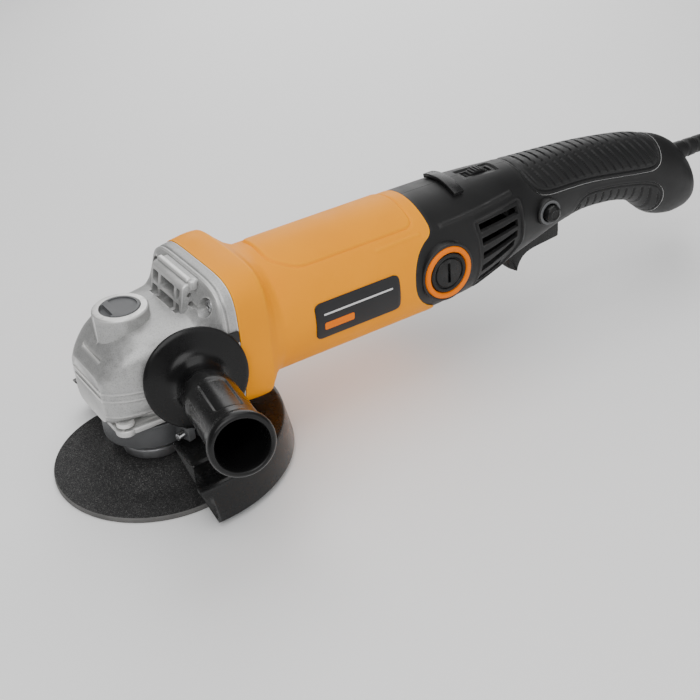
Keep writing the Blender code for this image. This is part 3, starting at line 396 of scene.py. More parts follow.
def mixed(tree, factor, a, b):
    node = tree.nodes.new("ShaderNodeMix")
    node.data_type = "RGBA"
    if isinstance(factor, (int, float)):
        node.inputs[0].default_value = factor
    else:
        tree.links.new(factor, node.inputs[0])
    for index, value in ((6, a), (7, b)):
        if isinstance(value, tuple):
            node.inputs[index].default_value = (*value, 1.0)
        else:
            tree.links.new(value, node.inputs[index])
    return node.outputs[2]


def bumped(tree, heights, surface):
    """Stacks bumps of (height, strength, distance in metres) on the surface."""
    normal = None
    for height, strength, distance in heights:
        node = tree.nodes.new("ShaderNodeBump")
        node.inputs["Strength"].default_value = strength
        node.inputs["Distance"].default_value = distance
        tree.links.new(height, node.inputs["Height"])
        if normal is not None:
            tree.links.new(normal, node.inputs["Normal"])
        normal = node.outputs["Normal"]
    tree.links.new(normal, surface.inputs["Normal"])


def worn(tree):
    """Near 1 on outer edges, near 0 in hollows, from the mesh's own shape."""
    shape = tree.nodes.new("ShaderNodeNewGeometry")
    return span(tree, shape.outputs["Pointiness"], 0.505, 0.56, 0.0, 1.0)


def plastic(name, colour, second, rough, grain=1400.0, depth=0.12, coat=0.0, edge=None, shine=0.26):
    """Moulded plastic: fine grain, faint mottling, uneven gloss and paler rubbed edges."""
    shade, tree, surface = nodes_of(name)
    where = tree.nodes.new("ShaderNodeTexCoord").outputs["Object"]
    cloud = texture(tree, "ShaderNodeTexNoise", 38.0, where, Detail=5.0).outputs["Fac"]
    fine = texture(tree, "ShaderNodeTexNoise", grain, where, Detail=3.0).outputs["Fac"]
    smudge = texture(tree, "ShaderNodeTexNoise", 85.0, where, Detail=6.0, Roughness=0.65).outputs["Fac"]
    base = mixed(tree, span(tree, cloud, 0.3, 0.7, 0.0, 1.0), colour, second)
    if edge is not None:
        base = mixed(tree, worn(tree), base, edge)
    tree.links.new(base, surface.inputs["Base Color"])
    tree.links.new(span(tree, smudge, 0.3, 0.75, rough - 0.05, rough + 0.09), surface.inputs["Roughness"])
    surface.inputs["Specular IOR Level"].default_value = shine
    if coat:
        surface.inputs["Coat Weight"].default_value = coat
        surface.inputs["Coat Roughness"].default_value = 0.08
    bumped(tree, ((fine, depth, 0.00012), (cloud, 0.05, 0.0006)), surface)
    return shade


def metal(name, colour, second, rough, brush=None, pits=0.1, speck=None, metallic=1.0):
    """Metal with uneven polish; brush stretches the marks along one axis, speck adds dark grains."""
    shade, tree, surface = nodes_of(name)
    where = tree.nodes.new("ShaderNodeTexCoord").outputs["Object"]
    stretched = tree.nodes.new("ShaderNodeMapping")
    stretched.inputs["Scale"].default_value = brush or (1.0, 1.0, 1.0)
    tree.links.new(where, stretched.inputs["Vector"])
    lines = texture(tree, "ShaderNodeTexNoise", 900.0, stretched.outputs["Vector"], Detail=4.0).outputs["Fac"]
    cloud = texture(tree, "ShaderNodeTexNoise", 60.0, where, Detail=6.0).outputs["Fac"]
    base = mixed(tree, span(tree, cloud, 0.3, 0.7, 0.0, 1.0), colour, second)
    if speck is not None:
        cells = texture(tree, "ShaderNodeTexVoronoi", 1150.0, where).outputs["Distance"]
        base = mixed(tree, span(tree, cells, 0.0, 0.42, 1.0, 0.0), base, speck)
    tree.links.new(base, surface.inputs["Base Color"])
    surface.inputs["Metallic"].default_value = metallic
    tree.links.new(span(tree, lines, 0.3, 0.7, rough - 0.07, rough + 0.12), surface.inputs["Roughness"])
    bumped(tree, ((lines, pits, 0.0001), (cloud, 0.05, 0.0005)), surface)
    return shade


def cast_metal(name):
    """Silver-painted cast metal with a fine dark and light speckle."""
    shade, tree, surface = nodes_of(name)
    where = tree.nodes.new("ShaderNodeTexCoord").outputs["Object"]
    fine = texture(tree, "ShaderNodeTexNoise", 1500.0, where, Detail=2.0).outputs["Fac"]
    broad = texture(tree, "ShaderNodeTexNoise", 260.0, where, Detail=5.0).outputs["Fac"]
    cells = texture(tree, "ShaderNodeTexVoronoi", 1900.0, where).outputs["Distance"]
    base = mixed(tree, span(tree, broad, 0.35, 0.65, 0.0, 1.0), (0.40, 0.40, 0.395), (0.46, 0.46, 0.455))
    base = mixed(tree, span(tree, fine, 0.50, 0.68, 0.0, 0.6), base, (0.24, 0.24, 0.235))
    base = mixed(tree, span(tree, cells, 0.0, 0.3, 0.5, 0.0), base, (0.66, 0.66, 0.65))
    base = mixed(tree, worn(tree), base, (0.74, 0.735, 0.72))
    tree.links.new(base, surface.inputs["Base Color"])
    surface.inputs["Metallic"].default_value = 0.55
    tree.links.new(span(tree, broad, 0.3, 0.7, 0.36, 0.52), surface.inputs["Roughness"])
    bumped(tree, ((fine, 0.22, 0.0001), (broad, 0.05, 0.0002)), surface)
    return shade


def abrasive(name):
    """Grit in black resin: pale and dark grains with a rough face."""
    shade, tree, surface = nodes_of(name)
    where = tree.nodes.new("ShaderNodeTexCoord").outputs["Object"]
    cells = texture(tree, "ShaderNodeTexVoronoi", 2300.0, where)
    broad = texture(tree, "ShaderNodeTexNoise", 700.0, where, Detail=4.0).outputs["Fac"]
    hue = tree.nodes.new("ShaderNodeSeparateColor")
    tree.links.new(cells.outputs["Color"], hue.inputs["Color"])
    base = mixed(tree, span(tree, hue.outputs["Red"], 0.55, 0.95, 0.0, 1.0), (0.012, 0.012, 0.0125), (0.055, 0.054, 0.053))
    base = mixed(tree, span(tree, hue.outputs["Green"], 0.93, 0.96, 0.0, 1.0), base, (0.10, 0.099, 0.096))
    tree.links.new(base, surface.inputs["Base Color"])
    tree.links.new(span(tree, hue.outputs["Blue"], 0.0, 1.0, 0.55, 0.95), surface.inputs["Roughness"])
    bumped(tree, ((cells.outputs["Distance"], 0.6, 0.00035), (broad, 0.4, 0.0003)), surface)
    return shade


def striped(name, colour, second, metallic, rough, scale, axis, strength=0.5):
    """Fine parallel layers or wires across one axis."""
    shade, tree, surface = nodes_of(name)
    where = tree.nodes.new("ShaderNodeTexCoord").outputs["Object"]
    bands = tree.nodes.new("ShaderNodeTexWave")
    bands.bands_direction = axis
    bands.inputs["Scale"].default_value = scale
    bands.inputs["Distortion"].default_value = 0.4
    tree.links.new(where, bands.inputs["Vector"])
    cloud = texture(tree, "ShaderNodeTexNoise", 90.0, where, Detail=4.0).outputs["Fac"]
    line = bands.outputs["Fac"]
    base = mixed(tree, span(tree, line, 0.1, 0.6, 0.0, 1.0), second, colour)
    tree.links.new(base, surface.inputs["Base Color"])
    surface.inputs["Metallic"].default_value = metallic
    tree.links.new(span(tree, cloud, 0.3, 0.7, rough - 0.06, rough + 0.1), surface.inputs["Roughness"])
    bumped(tree, ((line, strength, 0.0003),), surface)
    return shade


def rubber(name, colour, second, rough, grain=900.0, depth=0.25):
    """Soft rubber: dull, faintly mottled, with a slight sheen."""
    shade, tree, surface = nodes_of(name)
    where = tree.nodes.new("ShaderNodeTexCoord").outputs["Object"]
    fine = texture(tree, "ShaderNodeTexNoise", grain, where, Detail=4.0).outputs["Fac"]
    cloud = texture(tree, "ShaderNodeTexNoise", 50.0, where, Detail=6.0).outputs["Fac"]
    base = mixed(tree, span(tree, cloud, 0.35, 0.7, 0.0, 1.0), colour, second)
    tree.links.new(base, surface.inputs["Base Color"])
    tree.links.new(span(tree, fine, 0.3, 0.7, rough - 0.06, rough + 0.08), surface.inputs["Roughness"])
    surface.inputs["Specular IOR Level"].default_value = 0.3
    surface.inputs["Sheen Weight"].default_value = 0.02
    bumped(tree, ((fine, depth, 0.00015), (cloud, 0.06, 0.0006)), surface)
    return shade


CAST = cast_metal("cast_silver")
STEEL = metal("zinc_steel", (0.52, 0.53, 0.54), (0.66, 0.66, 0.66), 0.28, (1.0, 1.0, 0.08), 0.08)
DARK_STEEL = metal("dark_steel", (0.13, 0.13, 0.135), (0.2, 0.2, 0.205), 0.42, None, 0.2, None, 0.85)
FLANGE = metal("flange_steel", (0.30, 0.30, 0.31), (0.42, 0.42, 0.43), 0.40, (1.0, 1.0, 0.1), 0.12)
GEAR = metal("gear_steel", (0.36, 0.36, 0.37), (0.48, 0.48, 0.48), 0.34, (0.2, 0.2, 1.0), 0.12)
BEARING = metal("bearing_steel", (0.62, 0.62, 0.64), (0.72, 0.72, 0.74), 0.2, (0.1, 1.0, 1.0), 0.05)
SPRING = metal("spring_steel", (0.45, 0.45, 0.47), (0.58, 0.58, 0.6), 0.3, None, 0.08)
PAINT = plastic("black_gloss_paint", (0.004, 0.004, 0.0042), (0.006, 0.006, 0.0062), 0.26, 420.0, 0.04, 0.1, (0.04, 0.04, 0.04))
BAND_PAINT = metal("dark_band_paint", (0.085, 0.087, 0.09), (0.115, 0.117, 0.12), 0.42, None, 0.1, None, 0.4)
GLOSS = plastic("black_gloss_plastic", (0.004, 0.004, 0.0042), (0.006, 0.006, 0.0062), 0.27, 700.0, 0.04, 0.0, (0.02, 0.02, 0.02))
SATIN = plastic("black_satin_plastic", (0.0085, 0.0085, 0.0088), (0.012, 0.012, 0.0122), 0.44, 1500.0, 0.14, 0.0, (0.026, 0.026, 0.026))
GREY = plastic("grey_plastic", (0.095, 0.097, 0.10), (0.12, 0.122, 0.126), 0.45, 1300.0, 0.14)
YELLOW = plastic("amber_plastic", (0.93, 0.33, 0.0), (0.89, 0.31, 0.0), 0.42, 1250.0, 0.10, 0.0, (0.96, 0.38, 0.0), 0.07)
ORANGE = plastic("orange_ring_plastic", (0.90, 0.20, 0.0), (0.86, 0.185, 0.0), 0.38, 1250.0, 0.08, 0.0, None, 0.08)
RUBBER = rubber("soft_grip_rubber", (0.0075, 0.0075, 0.0078), (0.0105, 0.0105, 0.0107), 0.48)
CORD_SKIN = rubber("cord_rubber", (0.008, 0.008, 0.0082), (0.012, 0.012, 0.0122), 0.46, 500.0, 0.12)
GRIT = abrasive("abrasive_grit")
RIM_GRIT = metal("worn_grit_edge", (0.09, 0.088, 0.085), (0.15, 0.147, 0.142), 0.8, None, 0.5, (0.1, 0.1, 0.1), 0.1)
LAMINATION = striped("laminated_steel", (0.42, 0.42, 0.44), (0.16, 0.16, 0.17), 0.9, 0.42, 620.0, "X")
COPPER_WIRE = striped("varnished_copper_wire", (0.62, 0.24, 0.10), (0.25, 0.08, 0.035), 0.85, 0.34, 420.0, "X")
COMMUTATOR = striped("commutator_copper", (0.66, 0.34, 0.18), (0.10, 0.07, 0.05), 0.95, 0.3, 260.0, "Z")
CARBON = metal("pressed_carbon", (0.03, 0.03, 0.032), (0.05, 0.05, 0.052), 0.55, None, 0.3, None, 0.2)
BRASS = metal("plug_brass", (0.72, 0.5, 0.22), (0.8, 0.58, 0.28), 0.26, (1.0, 0.1, 0.1), 0.06)
NAMEPLATE = plastic("nameplate_print", (0.016, 0.016, 0.017), (0.02, 0.02, 0.021), 0.34, 900.0, 0.06)
SILVER_LINE = metal("silver_print", (0.62, 0.62, 0.62), (0.7, 0.7, 0.7), 0.4, None, 0.05, None, 0.4)

CARRIED = {
    "gear_housing": CAST, "bearing_plate": CAST, "spindle": STEEL, "crown_gear": GEAR, "pinion": GEAR,
    "spindle_bearing": BEARING, "front_bearing": BEARING, "rear_bearing": BEARING, "inner_flange": FLANGE,
    "outer_flange_nut": DARK_STEEL, "grinding_wheel": GRIT, "spindle_lock_button": GREY,
    "lock_button_spring": SPRING, "trigger_spring": SPRING, "brush_spring_left": SPRING,
    "brush_spring_right": SPRING, "wheel_guard": PAINT, "guard_band": BAND_PAINT, "guard_screw": STEEL,
    "side_handle": GLOSS, "side_handle_stud": STEEL, "motor_housing": YELLOW, "stator_core": LAMINATION,
    "field_coil_upper": COPPER_WIRE, "field_coil_lower": COPPER_WIRE, "armature_shaft": STEEL,
    "armature_core": LAMINATION, "armature_windings": COPPER_WIRE, "commutator": COMMUTATOR,
    "cooling_fan": GLOSS, "carbon_brush_left": CARBON, "carbon_brush_right": CARBON,
    "brush_cap_left": GLOSS, "brush_cap_right": GLOSS, "brush_ring_left": ORANGE,
    "brush_ring_right": ORANGE, "rear_shell_left": SATIN, "rear_shell_right": SATIN, "seam_clip": GLOSS,
    "grip_pad_upper": RUBBER, "grip_pad_lower": RUBBER, "trigger": GLOSS, "switch_body": SATIN,
    "lock_on_button": GLOSS, "speed_dial": SATIN, "strain_relief": CORD_SKIN, "cord": CORD_SKIN,
    "cord_coil": CORD_SKIN, "plug": CORD_SKIN,
}
for node_name, node in frame["nodes"].items():
    finish = CARRIED.get(node_name, STEEL)
    node.data.materials.clear()
    node.data.materials.append(finish)
    sharpen(node, 32.0)


def stand_for(obj, body, slot, *nodes):
    """The piece rides on its body and hides the CAD nodes it replaces; slot is not used."""
    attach(obj, body)
    if nodes:
        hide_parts(*nodes)
    return obj


# ---------------------------------------------------------------- shared shapes
UPRIGHT = Matrix.Rotation(pi / 2, 4, "X")
GAP = 0.3
WHEEL_TOP = 8.3
BODY_HEIGHT = 67.0
BODY_RADIUS = 37.0
HANDLE_FLANGE = Vector((12.9, -41.7, 65.5))
HANDLE_END = Vector((-4.0, -124.0, 78.0))
HANDLE_AXIS = (HANDLE_END - HANDLE_FLANGE).normalized()
HANDLE_LENGTH = (HANDLE_END - HANDLE_FLANGE).length
BRUSH_X = 176.0
HEAD_SCREWS = [(side * 29.5, BODY_HEIGHT + level * 29.0) for side in (-1, 1) for level in (1, -1)]
PLATE_SCREWS = [(x, y) for x in (-22.5, 22.5) for y in (-22.5, 22.5)]
FAST = "MANIFOLD"


def at(x, y, z):
    return Matrix.Translation((x, y, z))


def rod(radius, low, high, place=Matrix(), steps=48, edge=0.0):
    profile = ((0, low), (radius, low), (radius, high), (0, high))
    if edge:
        profile = rounded(profile, (0, edge, edge, 0), 3)
    return lathe("tool", profile, None, place, steps)


def side_prism(outline, half, edge=0.0, shift=0.0):
    """An outline seen from the side, as deep as half on each side of the middle."""
    return plate("tool", outline, -half, half, None, at(shift, 0, 0) @ UPRIGHT, edge)


def box_tool(low, high, place=Matrix(), edge=0.0):
    return block("tool", low, high, None, place, edge)


def ridge(value, middle, width):
    return np.exp(-((value - middle) / width) ** 2)


# ---------------------------------------------------------------- gear head
HEAD_SECTIONS = (
    (-31.0, 18.5, 42.0, 70.0, 5.5), (-27.0, 23.0, 41.0, 74.8, 5.0), (-17.0, 28.5, 41.0, 84.0, 4.2),
    (-5.0, 32.0, 41.0, 89.5, 3.5), (8.0, 35.0, 41.0, 90.5, 3.2), (20.0, 37.0, 41.0, 91.0, 3.4),
    (25.0, 38.0, 41.0, 94.0, 3.6), (30.0, 39.2, 41.0, 102.5, 4.4), (32.4, 40.4, 33.0, 107.2, 5.0),
    (40.0, 41.0, 31.5, 108.5, 5.0),
)
HEAD_CAVITY = (
    (-26.0, 17.0, 45.0, 66.0, 4.0), (-12.0, 26.0, 45.0, 79.0, 3.5), (5.0, 30.0, 45.0, 85.5, 3.0),
    (20.0, 32.0, 45.0, 86.0, 3.0), (29.5, 33.0, 45.0, 88.0, 3.0),
)


def make_head():
    def relief(x, y, z):
        along = (1 - ramp(x, 29.5, 31.0)) * ramp(np.abs(y), 12.0, 16.0)
        out = 0.6 * (ridge(z, 62.2, 0.8) + ridge(z, 57.8, 0.8)) + 0.45 * ridge(z, 48.0, 0.7)
        return out * along - 0.5 * ridge(x, 34.6, 0.45)

    stations = np.concatenate((np.linspace(-31, 28, 70), np.linspace(28.6, 40, 26)))
    head = loft("gear_head", HEAD_SECTIONS, stations, CAST, 288, relief)
    vent_side = rounded(((18.0, 84.0), (22.3, 104.8), (24.5, 105.9), (33.0, 106.6), (36.0, 84.0)), 1.4, 4, True)
    hood = side_prism(vent_side, 18.5, 1.3)
    bar = plate("tool", rounded(((25.4, -17.6), (28.8, -17.6), (28.8, 17.6), (25.4, 17.6)), 1.6, 5, True),
                103.0, 107.9, None, Matrix(), 1.0)
    nub = rod(2.6, 102.0, 107.2, at(28.6, -17.4, 0), 32, 1.2)
    boss = rod(15.0, 78.0, 96.4, at(-6, 0, 0), 96, 1.6)
    handle_boss = rod(9.4, -13.5, -4.0, facing(HANDLE_FLANGE, HANDLE_AXIS), 48, 0.8)
    strips = [box_tool((-31.6, -16.4, z - 0.8), (-30.0, 16.4, z + 0.8), Matrix(), 0.3) for z in (62.2, 57.8)]
    join(head, hood, bar, nub, boss, handle_boss, *strips, solver=FAST)
    cut(head, loft("tool", HEAD_CAVITY, np.linspace(-26, 29.5, 24), None, 64), solver=FAST)
    join(head, rod(8.5, 71.0, 90.0), solver=FAST)
    for x, y in PLATE_SCREWS:
        join(head, rod(4.8, 42.0, 51.0 if x > 0 else 44.5, at(x, y, 0), 24), solver=FAST)
    stud_way = facing(HANDLE_FLANGE, HANDLE_AXIS)
    tools = [
        rod(4.8, 60.0, 80.0), rod(23.2, 30.0, 47.0, Matrix(), 96), rod(13.0, 31.8, 45.0, along_x(BODY_HEIGHT), 64),
        rod(9.0, 20.0, 45.0, along_x(BODY_HEIGHT)), rod(11.1, 86.4, 100.0, at(-6, 0, 0), 96),
        rod(2.5, 60.0, 90.0, at(-13, 0, 0), 24), rod(4.2, -20.0, 5.0, stud_way, 32),
        box_tool((-26.1, -11.5, 75.1), (-24.9, 11.5, 82.0), Matrix(), 0.4),
    ]
    for y, z in HEAD_SCREWS:
        way = at(0, y, z) @ along_x()
        tools.append(rod(5.0, -5.0, 33.0, way, 40))
        tools.append(rod(2.2, 20.0, 60.0, way, 20))
    for x, y in PLATE_SCREWS:
        tools.append(rod(2.2, 30.0, 49.5 if x > 0 else 43.6, at(x, y, 0), 20))
    front = Matrix(((0, 0, 1, 0), (1, 0, 0, 0), (0, 1, 0, 0), (0, 0, 0, 1)))
    for low, high in ((-15.8, -12.0), (-9.4, 6.6), (9.4, 15.8)):
        for row in range(2):
            z = 88.2 + row * 8.0
            corners = rounded(((low, z), (high, z), (high, z + 6.4), (low, z + 6.4)), 1.3, 4, True)
            tools.append(plate("tool", corners, 17.4, 27.0, None, front))
    for side in (-1, 1):
        for z in (94.6, 99.6):
            way = facing((25.4, 0, z), (0, side, 0))
            tools.append(rod(1.3, 16.0, 30.0, way, 20))
    cut(head, *tools, solver=FAST)
    sharpen(head, 28.0)
    stand_for(head, "tool_body", "cast_aluminium", "gear_housing")

    corners = []
    for sx, sy in ((1, 1), (-1, 1), (-1, -1), (1, -1)):
        pair = [(28.0 * sx, 22.0 * sy), (22.0 * sx, 28.0 * sy)]
        corners += pair if sx * sy > 0 else pair[::-1]
    base = plate("bearing_cover", rounded(corners, 4.0, 4, True), 37.3, 40.7, CAST, Matrix(), 0.8)
    for x, y in PLATE_SCREWS:
        join(base, rod(5.8, 36.9, 40.6, at(x, y, 0), 40, 0.8), solver=FAST)
    neck = lathe("tool", rounded(((0, 24), (23.7, 24), (23.7, 45), (22.9, 45.2), (0, 45.2)), (0, 0.8, 0, 0, 0), 3), None)
    join(base, neck, solver=FAST)
    cut(base, rod(15.3, 26.2, 60.0, Matrix(), 64), rod(11.0, 10.0, 60.0), solver=FAST)
    for x, y in PLATE_SCREWS:
        cut(base, rod(2.2, 20.0, 60.0, at(x, y, 0), 20), rod(23.2, 45.0, 60.0), solver=FAST)
    sharpen(base, 28.0)
    stand_for(base, "tool_body", "cast_aluminium", "bearing_plate")

    button = rod(10.8, 90.8, 97.0, at(-6, 0, 0), 96, 0.7)
    button.name = "lock_button_cap"
    join(button, rod(2.2, BODY_HEIGHT - 8.7, 91.5, at(-13, 0, 0), 24), solver=FAST)
    recess = plate("tool", [(-6 + 9.2 * cos(radians(a)), 9.2 * sin(radians(a))) for a in range(-108, 109, 6)],
                   96.2, 99.0, None)
    cut(button, box_tool((-20.0, -6.5, 94.4), (-12.5, 6.5, 99.0), Matrix(), 0.8), recess, solver=FAST)
    button.data.materials.clear()
    button.data.materials.append(GREY)
    sharpen(button, 28.0)
    stand_for(button, "spindle_lock", "dark_grey_plastic", "spindle_lock_button")
    tab = block("side_tab", (33.4, -42.2, 77.0), (39.6, -40.4, 83.4), GLOSS, Matrix(), 0.5)
    stand_for(tab, "tool_body", "black_plastic")


# ---------------------------------------------------------------- screws
def fine_screw(node, slot, point, direction, length):
    corners = ((0, length), (1.9, length), (1.9, 0), (3.6, 0), (3.6, -1.6), (2.7, -2.6), (0, -2.6))
    place = facing(point, direction)
    piece = lathe(node + "_cross", rounded(corners, (0, 0.4, 0, 0.2, 0.5, 0.7, 0), 3), STEEL, place, 40)
    for a, b in ((2.3, 0.45), (0.45, 2.3)):
        cut(piece, box_tool((-a, -b, -4.0), (a, b, -1.1), place), solver=FAST)
    sharpen(piece, 28.0)
    stand_for(piece, "tool_body", slot, node)


def make_screws():
    for k, (y, z) in enumerate(HEAD_SCREWS):
        fine_screw("head_screw_%d" % (k + 1), "steel", (32.7, y, z), (1, 0, 0), 20.0)
    for k, (x, y) in enumerate(PLATE_SCREWS):
        fine_screw("plate_screw_%d" % (k + 1), "steel", (x, y, 37.0), (0, 0, 1), 12.0 if x > 0 else 6.4)
    for k, (x, z, head) in enumerate(((214.0, 46.0, 21.0), (304.0, 72.0, 14.0), (386.0, 44.0, 11.0))):
        fine_screw("shell_screw_%d" % (k + 1), "steel", (x, head - 0.4, z), (0, -1, 0), head + 7.0)


# ---------------------------------------------------------------- guard
def make_guard():
    outer = 76.6
    top = 21.0
    sheet = 1.6
    corners = (
        (26.8, top + sheet), (50, top + sheet), (52, top), (70.5, top), (72.6, top - 1.2),
        (73.2, top - 3.0), (outer, 0.4), (outer - sheet, 0.4), (71.6, top - 3.4), (70.2, top - sheet),
        (51.3, top - sheet), (49.3, top), (26.8, top),
    )
    sizes = (0.2, 1.2, 1.2, 1.6, 1.0, 1.6, 0.5, 0.5, 1.0, 0.8, 1.0, 1.0, 0.2)
    guard = lathe("guard_cover", rounded(corners, sizes, 4, True), PAINT, Matrix(), 240)
    wedge = []
    reach = 130.0
    for z, near, far in ((45.0, 111.5, 104.0), (-15.0, 91.3, 87.5)):
        a = radians(near)
        b = radians(far)
        wedge.append((0.0, 0.0, z))
        wedge.append((reach * cos(a), -reach * sin(a), z))
        wedge.append((-reach * 1.5, -reach * 1.5, z))
        wedge.append((-reach * 1.5, reach * 1.5, z))
        wedge.append((reach * cos(b), reach * sin(b), z))
    faces = [(0, 1, 2, 3, 4), (5, 6, 7, 8, 9)] + [(i, (i + 1) % 5, (i + 1) % 5 + 5, i + 5) for i in range(5)]
    cut(guard, add_mesh("tool", wedge, faces), solver=FAST)
    soften(guard, 0.35, 55.0)
    sharpen(guard, 32.0)
    stand_for(guard, "guard_group", "black_paint", "wheel_guard")

    inner = 24.0
    ring = rounded(((inner, 21.8), (inner + 2.4, 21.8), (inner + 2.4, 35.8), (inner, 35.8)), 0.6, 3, True)
    band = lathe("guard_clamp", ring, BAND_PAINT, Matrix(), 144)
    lip = rounded(((inner + 1.2, 33.4), (inner + 3.0, 33.4), (inner + 3.0, 35.6), (inner + 1.2, 35.6)), 0.6, 3, True)
    join(band, lathe("tool", lip, None, Matrix(), 144), solver=FAST)
    turn = Matrix.Rotation(radians(-72), 4, "Z")
    join(band, box_tool((inner + 1.0, -5.5, 24.8), (36.0, 5.5, 33.2), turn, 1.0), solver=FAST)
    axis = turn @ at(31.6, 0, 29) @ Matrix.Rotation(pi / 2, 4, "X")
    cut(band, box_tool((10.0, -1.2, 10.0), (60.0, 1.2, 50.0), turn), rod(2.2, -20, 20, axis, 24), solver=FAST)
    sharpen(band, 30.0)
    stand_for(band, "guard_group", "black_paint", "guard_band")
    hexagon = [(3.7 * cos(radians(60 * k)), 3.7 * sin(radians(60 * k))) for k in range(6)]
    bolt = plate("guard_bolt", hexagon, -8.8, -5.8, STEEL, axis, 0.4)
    join(bolt, rod(1.9, -6.2, 10.0, axis, 32, 0.3), solver=FAST)
    cut(bolt, rod(1.7, -12.0, -7.4, axis, 6), solver=FAST)
    sharpen(bolt, 28.0)
    stand_for(bolt, "guard_group", "steel", "guard_screw")


# ---------------------------------------------------------------- wheel, flange and nut
def make_wheel():
    base = -3.0
    corners = (
        (11.1, WHEEL_TOP), (23, WHEEL_TOP), (27.5, 6.2), (35, 0.8), (39, 0), (57.1, 0), (57.5, -0.5), (57.5, base),
        (37.6, base), (33.4, base + 0.8), (26.0, 3.2), (21.8, WHEEL_TOP - 3.0), (11.1, WHEEL_TOP - 3.0),
    )
    sizes = (0.3, 3.0, 3.0, 4.0, 3.0, 0.3, 0.3, 0.4, 3.0, 3.0, 3.0, 3.0, 0.3)
    wheel = lathe("abrasive_wheel", rounded(corners, sizes, 5, True), GRIT, Matrix(), 240)
    wheel.data.materials.append(RIM_GRIT)
    for face in wheel.data.polygons:
        spot = (face.center - BASE) / MM
        if sqrt(spot.x ** 2 + spot.y ** 2) > 57.0 and spot.z > base + 0.3:
            face.material_index = 1
    stand_for(wheel, "spindle_group", "abrasive", "grinding_wheel")
    flange_corners = (
        (7.2, 16.9), (13.5, 16.9), (17.0, 14.6), (17.7, 14.0), (17.7, 8.9), (16.9, 8.6), (10.8, 8.6), (10.8, 5.6), (7.2, 5.6),
    )
    flange = lathe("flange_ring", rounded(flange_corners, (0.3, 1.0, 0.6, 0.4, 0.3, 0.2, 0.2, 0.4, 0.3), 4, True), FLANGE, Matrix(), 128)
    stand_for(flange, "spindle_group", "dark_steel", "inner_flange")
    nut_corners = ((7.2, 5.0), (17.0, 5.0), (17.0, 2.6), (16.0, 1.6), (12.0, 1.6), (11.0, -0.6), (7.2, -0.6))
    nut = lathe("clamp_nut", rounded(nut_corners, (0.3, 0.4, 0.6, 0.4, 0.5, 0.5, 0.3), 4, True), DARK_STEEL, Matrix(), 128)
    for k in range(4):
        turn = Matrix.Rotation(k * pi / 2 + pi / 4, 4, "Z")
        cut(nut, rod(1.8, -5.0, 3.5, turn @ at(14, 0, 0), 32), solver=FAST)
    sharpen(nut, 28.0)
    stand_for(nut, "spindle_group", "dark_steel", "outer_flange_nut")


# ---------------------------------------------------------------- side handle
def make_handle():
    end = HANDLE_LENGTH
    edge = 27.8
    corners = [
        (0, 24.0), (11.0, 24.0), (12.6, end - 3.0), (13.6, end - 0.2), (15.2, end), (16.6, end - 1.6),
        (16.6, end - 4.6), (15.2, end - 6.8), (14.6, end - 9.0), (14.4, 34.0), (13.6, 22.0), (11.4, 16.0),
        (11.2, 12.0), (12.6, 7.0), (16.0, 3.2), (edge - 1.6, 1.0), (edge, 0.0), (edge, -1.6), (edge - 1.4, -2.6),
        (12.0, -3.4), (4.2, -3.4), (4.2, 13.0), (0, 13.0),
    ]
    sizes = [0, 2, 1.0, 0.8, 1.0, 1.6, 1.6, 1.0, 1.0, 3.0, 3.0, 2.4, 2.4, 3.0, 2.4, 1.0, 0.6, 0.6, 0.6, 0.6, 0.3, 0.6, 0]
    smooth_line = rounded(corners, sizes, 4)
    profile = []
    for (r0, z0), (r1, z1) in zip(smooth_line, smooth_line[1:]):
        steps = max(1, int(abs(z1 - z0) / 0.9)) if min(r0, r1) > 13.0 else 1
        for k in range(steps):
            profile.append((r0 + (r1 - r0) * k / steps, z0 + (z1 - z0) * k / steps))
    profile.append(smooth_line[-1])
    count = 224
    verts = []
    panels = ((35.0, 70.0, 24.0), (35.0, 70.0, 24.0))
    middle = (panels[0][0] + panels[0][1]) / 2
    for k in range(count):
        turn = 2 * pi * k / count
        for r, z in profile:
            depth = 0.0
            if 13.2 < r < 15.2 and 24.0 < z < end - 9.5 and r > 12.7 + 0.02 * z:
                quarter = (turn + pi / 4) % (pi / 2) - pi / 4
                across = abs(quarter) * 14.4
                long_in = (panels[0][1] - panels[0][0]) / 2 - abs(z - middle)
                wide_in = 7.6 - across
                inside = min(long_in, wide_in)
                if long_in < 3 and wide_in < 3:
                    inside = 3 - sqrt((3 - long_in) ** 2 + (3 - wide_in) ** 2)
                share = min(1.0, max(0.0, inside / 0.9))
                depth = 0.85 * share * share * (3 - 2 * share)
            verts.append(((r - depth) * cos(turn), (r - depth) * sin(turn), z))
    n = len(profile)
    faces = []
    for k in range(count):
        a = k * n
        b = ((k + 1) % count) * n
        faces += [(a + i, a + (i + 1) % n, b + (i + 1) % n, b + i) for i in range(n - 1)]
    place = facing(HANDLE_FLANGE, HANDLE_AXIS)
    handle = add_mesh("grip_handle", placed(verts, place), faces)
    model = bmesh.new()
    model.from_mesh(handle.data)
    bmesh.ops.remove_doubles(model, verts=model.verts, dist=1e-7)
    bmesh.ops.recalc_face_normals(model, faces=model.faces)
    model.to_mesh(handle.data)
    model.free()
    handle.data.materials.append(GLOSS)
    sharpen(handle, 40.0)
    stand_for(handle, "handle_group", "black_plastic", "side_handle")
    profile = [(0, 12.7)]
    for k in range(16):
        z = 12.2 - 1.55 * k
        profile += [(3.3, z), (3.9, z - 0.5), (3.9, z - 0.8), (3.3, z - 1.3)]
    profile.append((0, -12.5))
    stud = lathe("handle_thread", profile, STEEL, place, 32)
    stand_for(stud, "handle_group", "steel", "side_handle_stud")


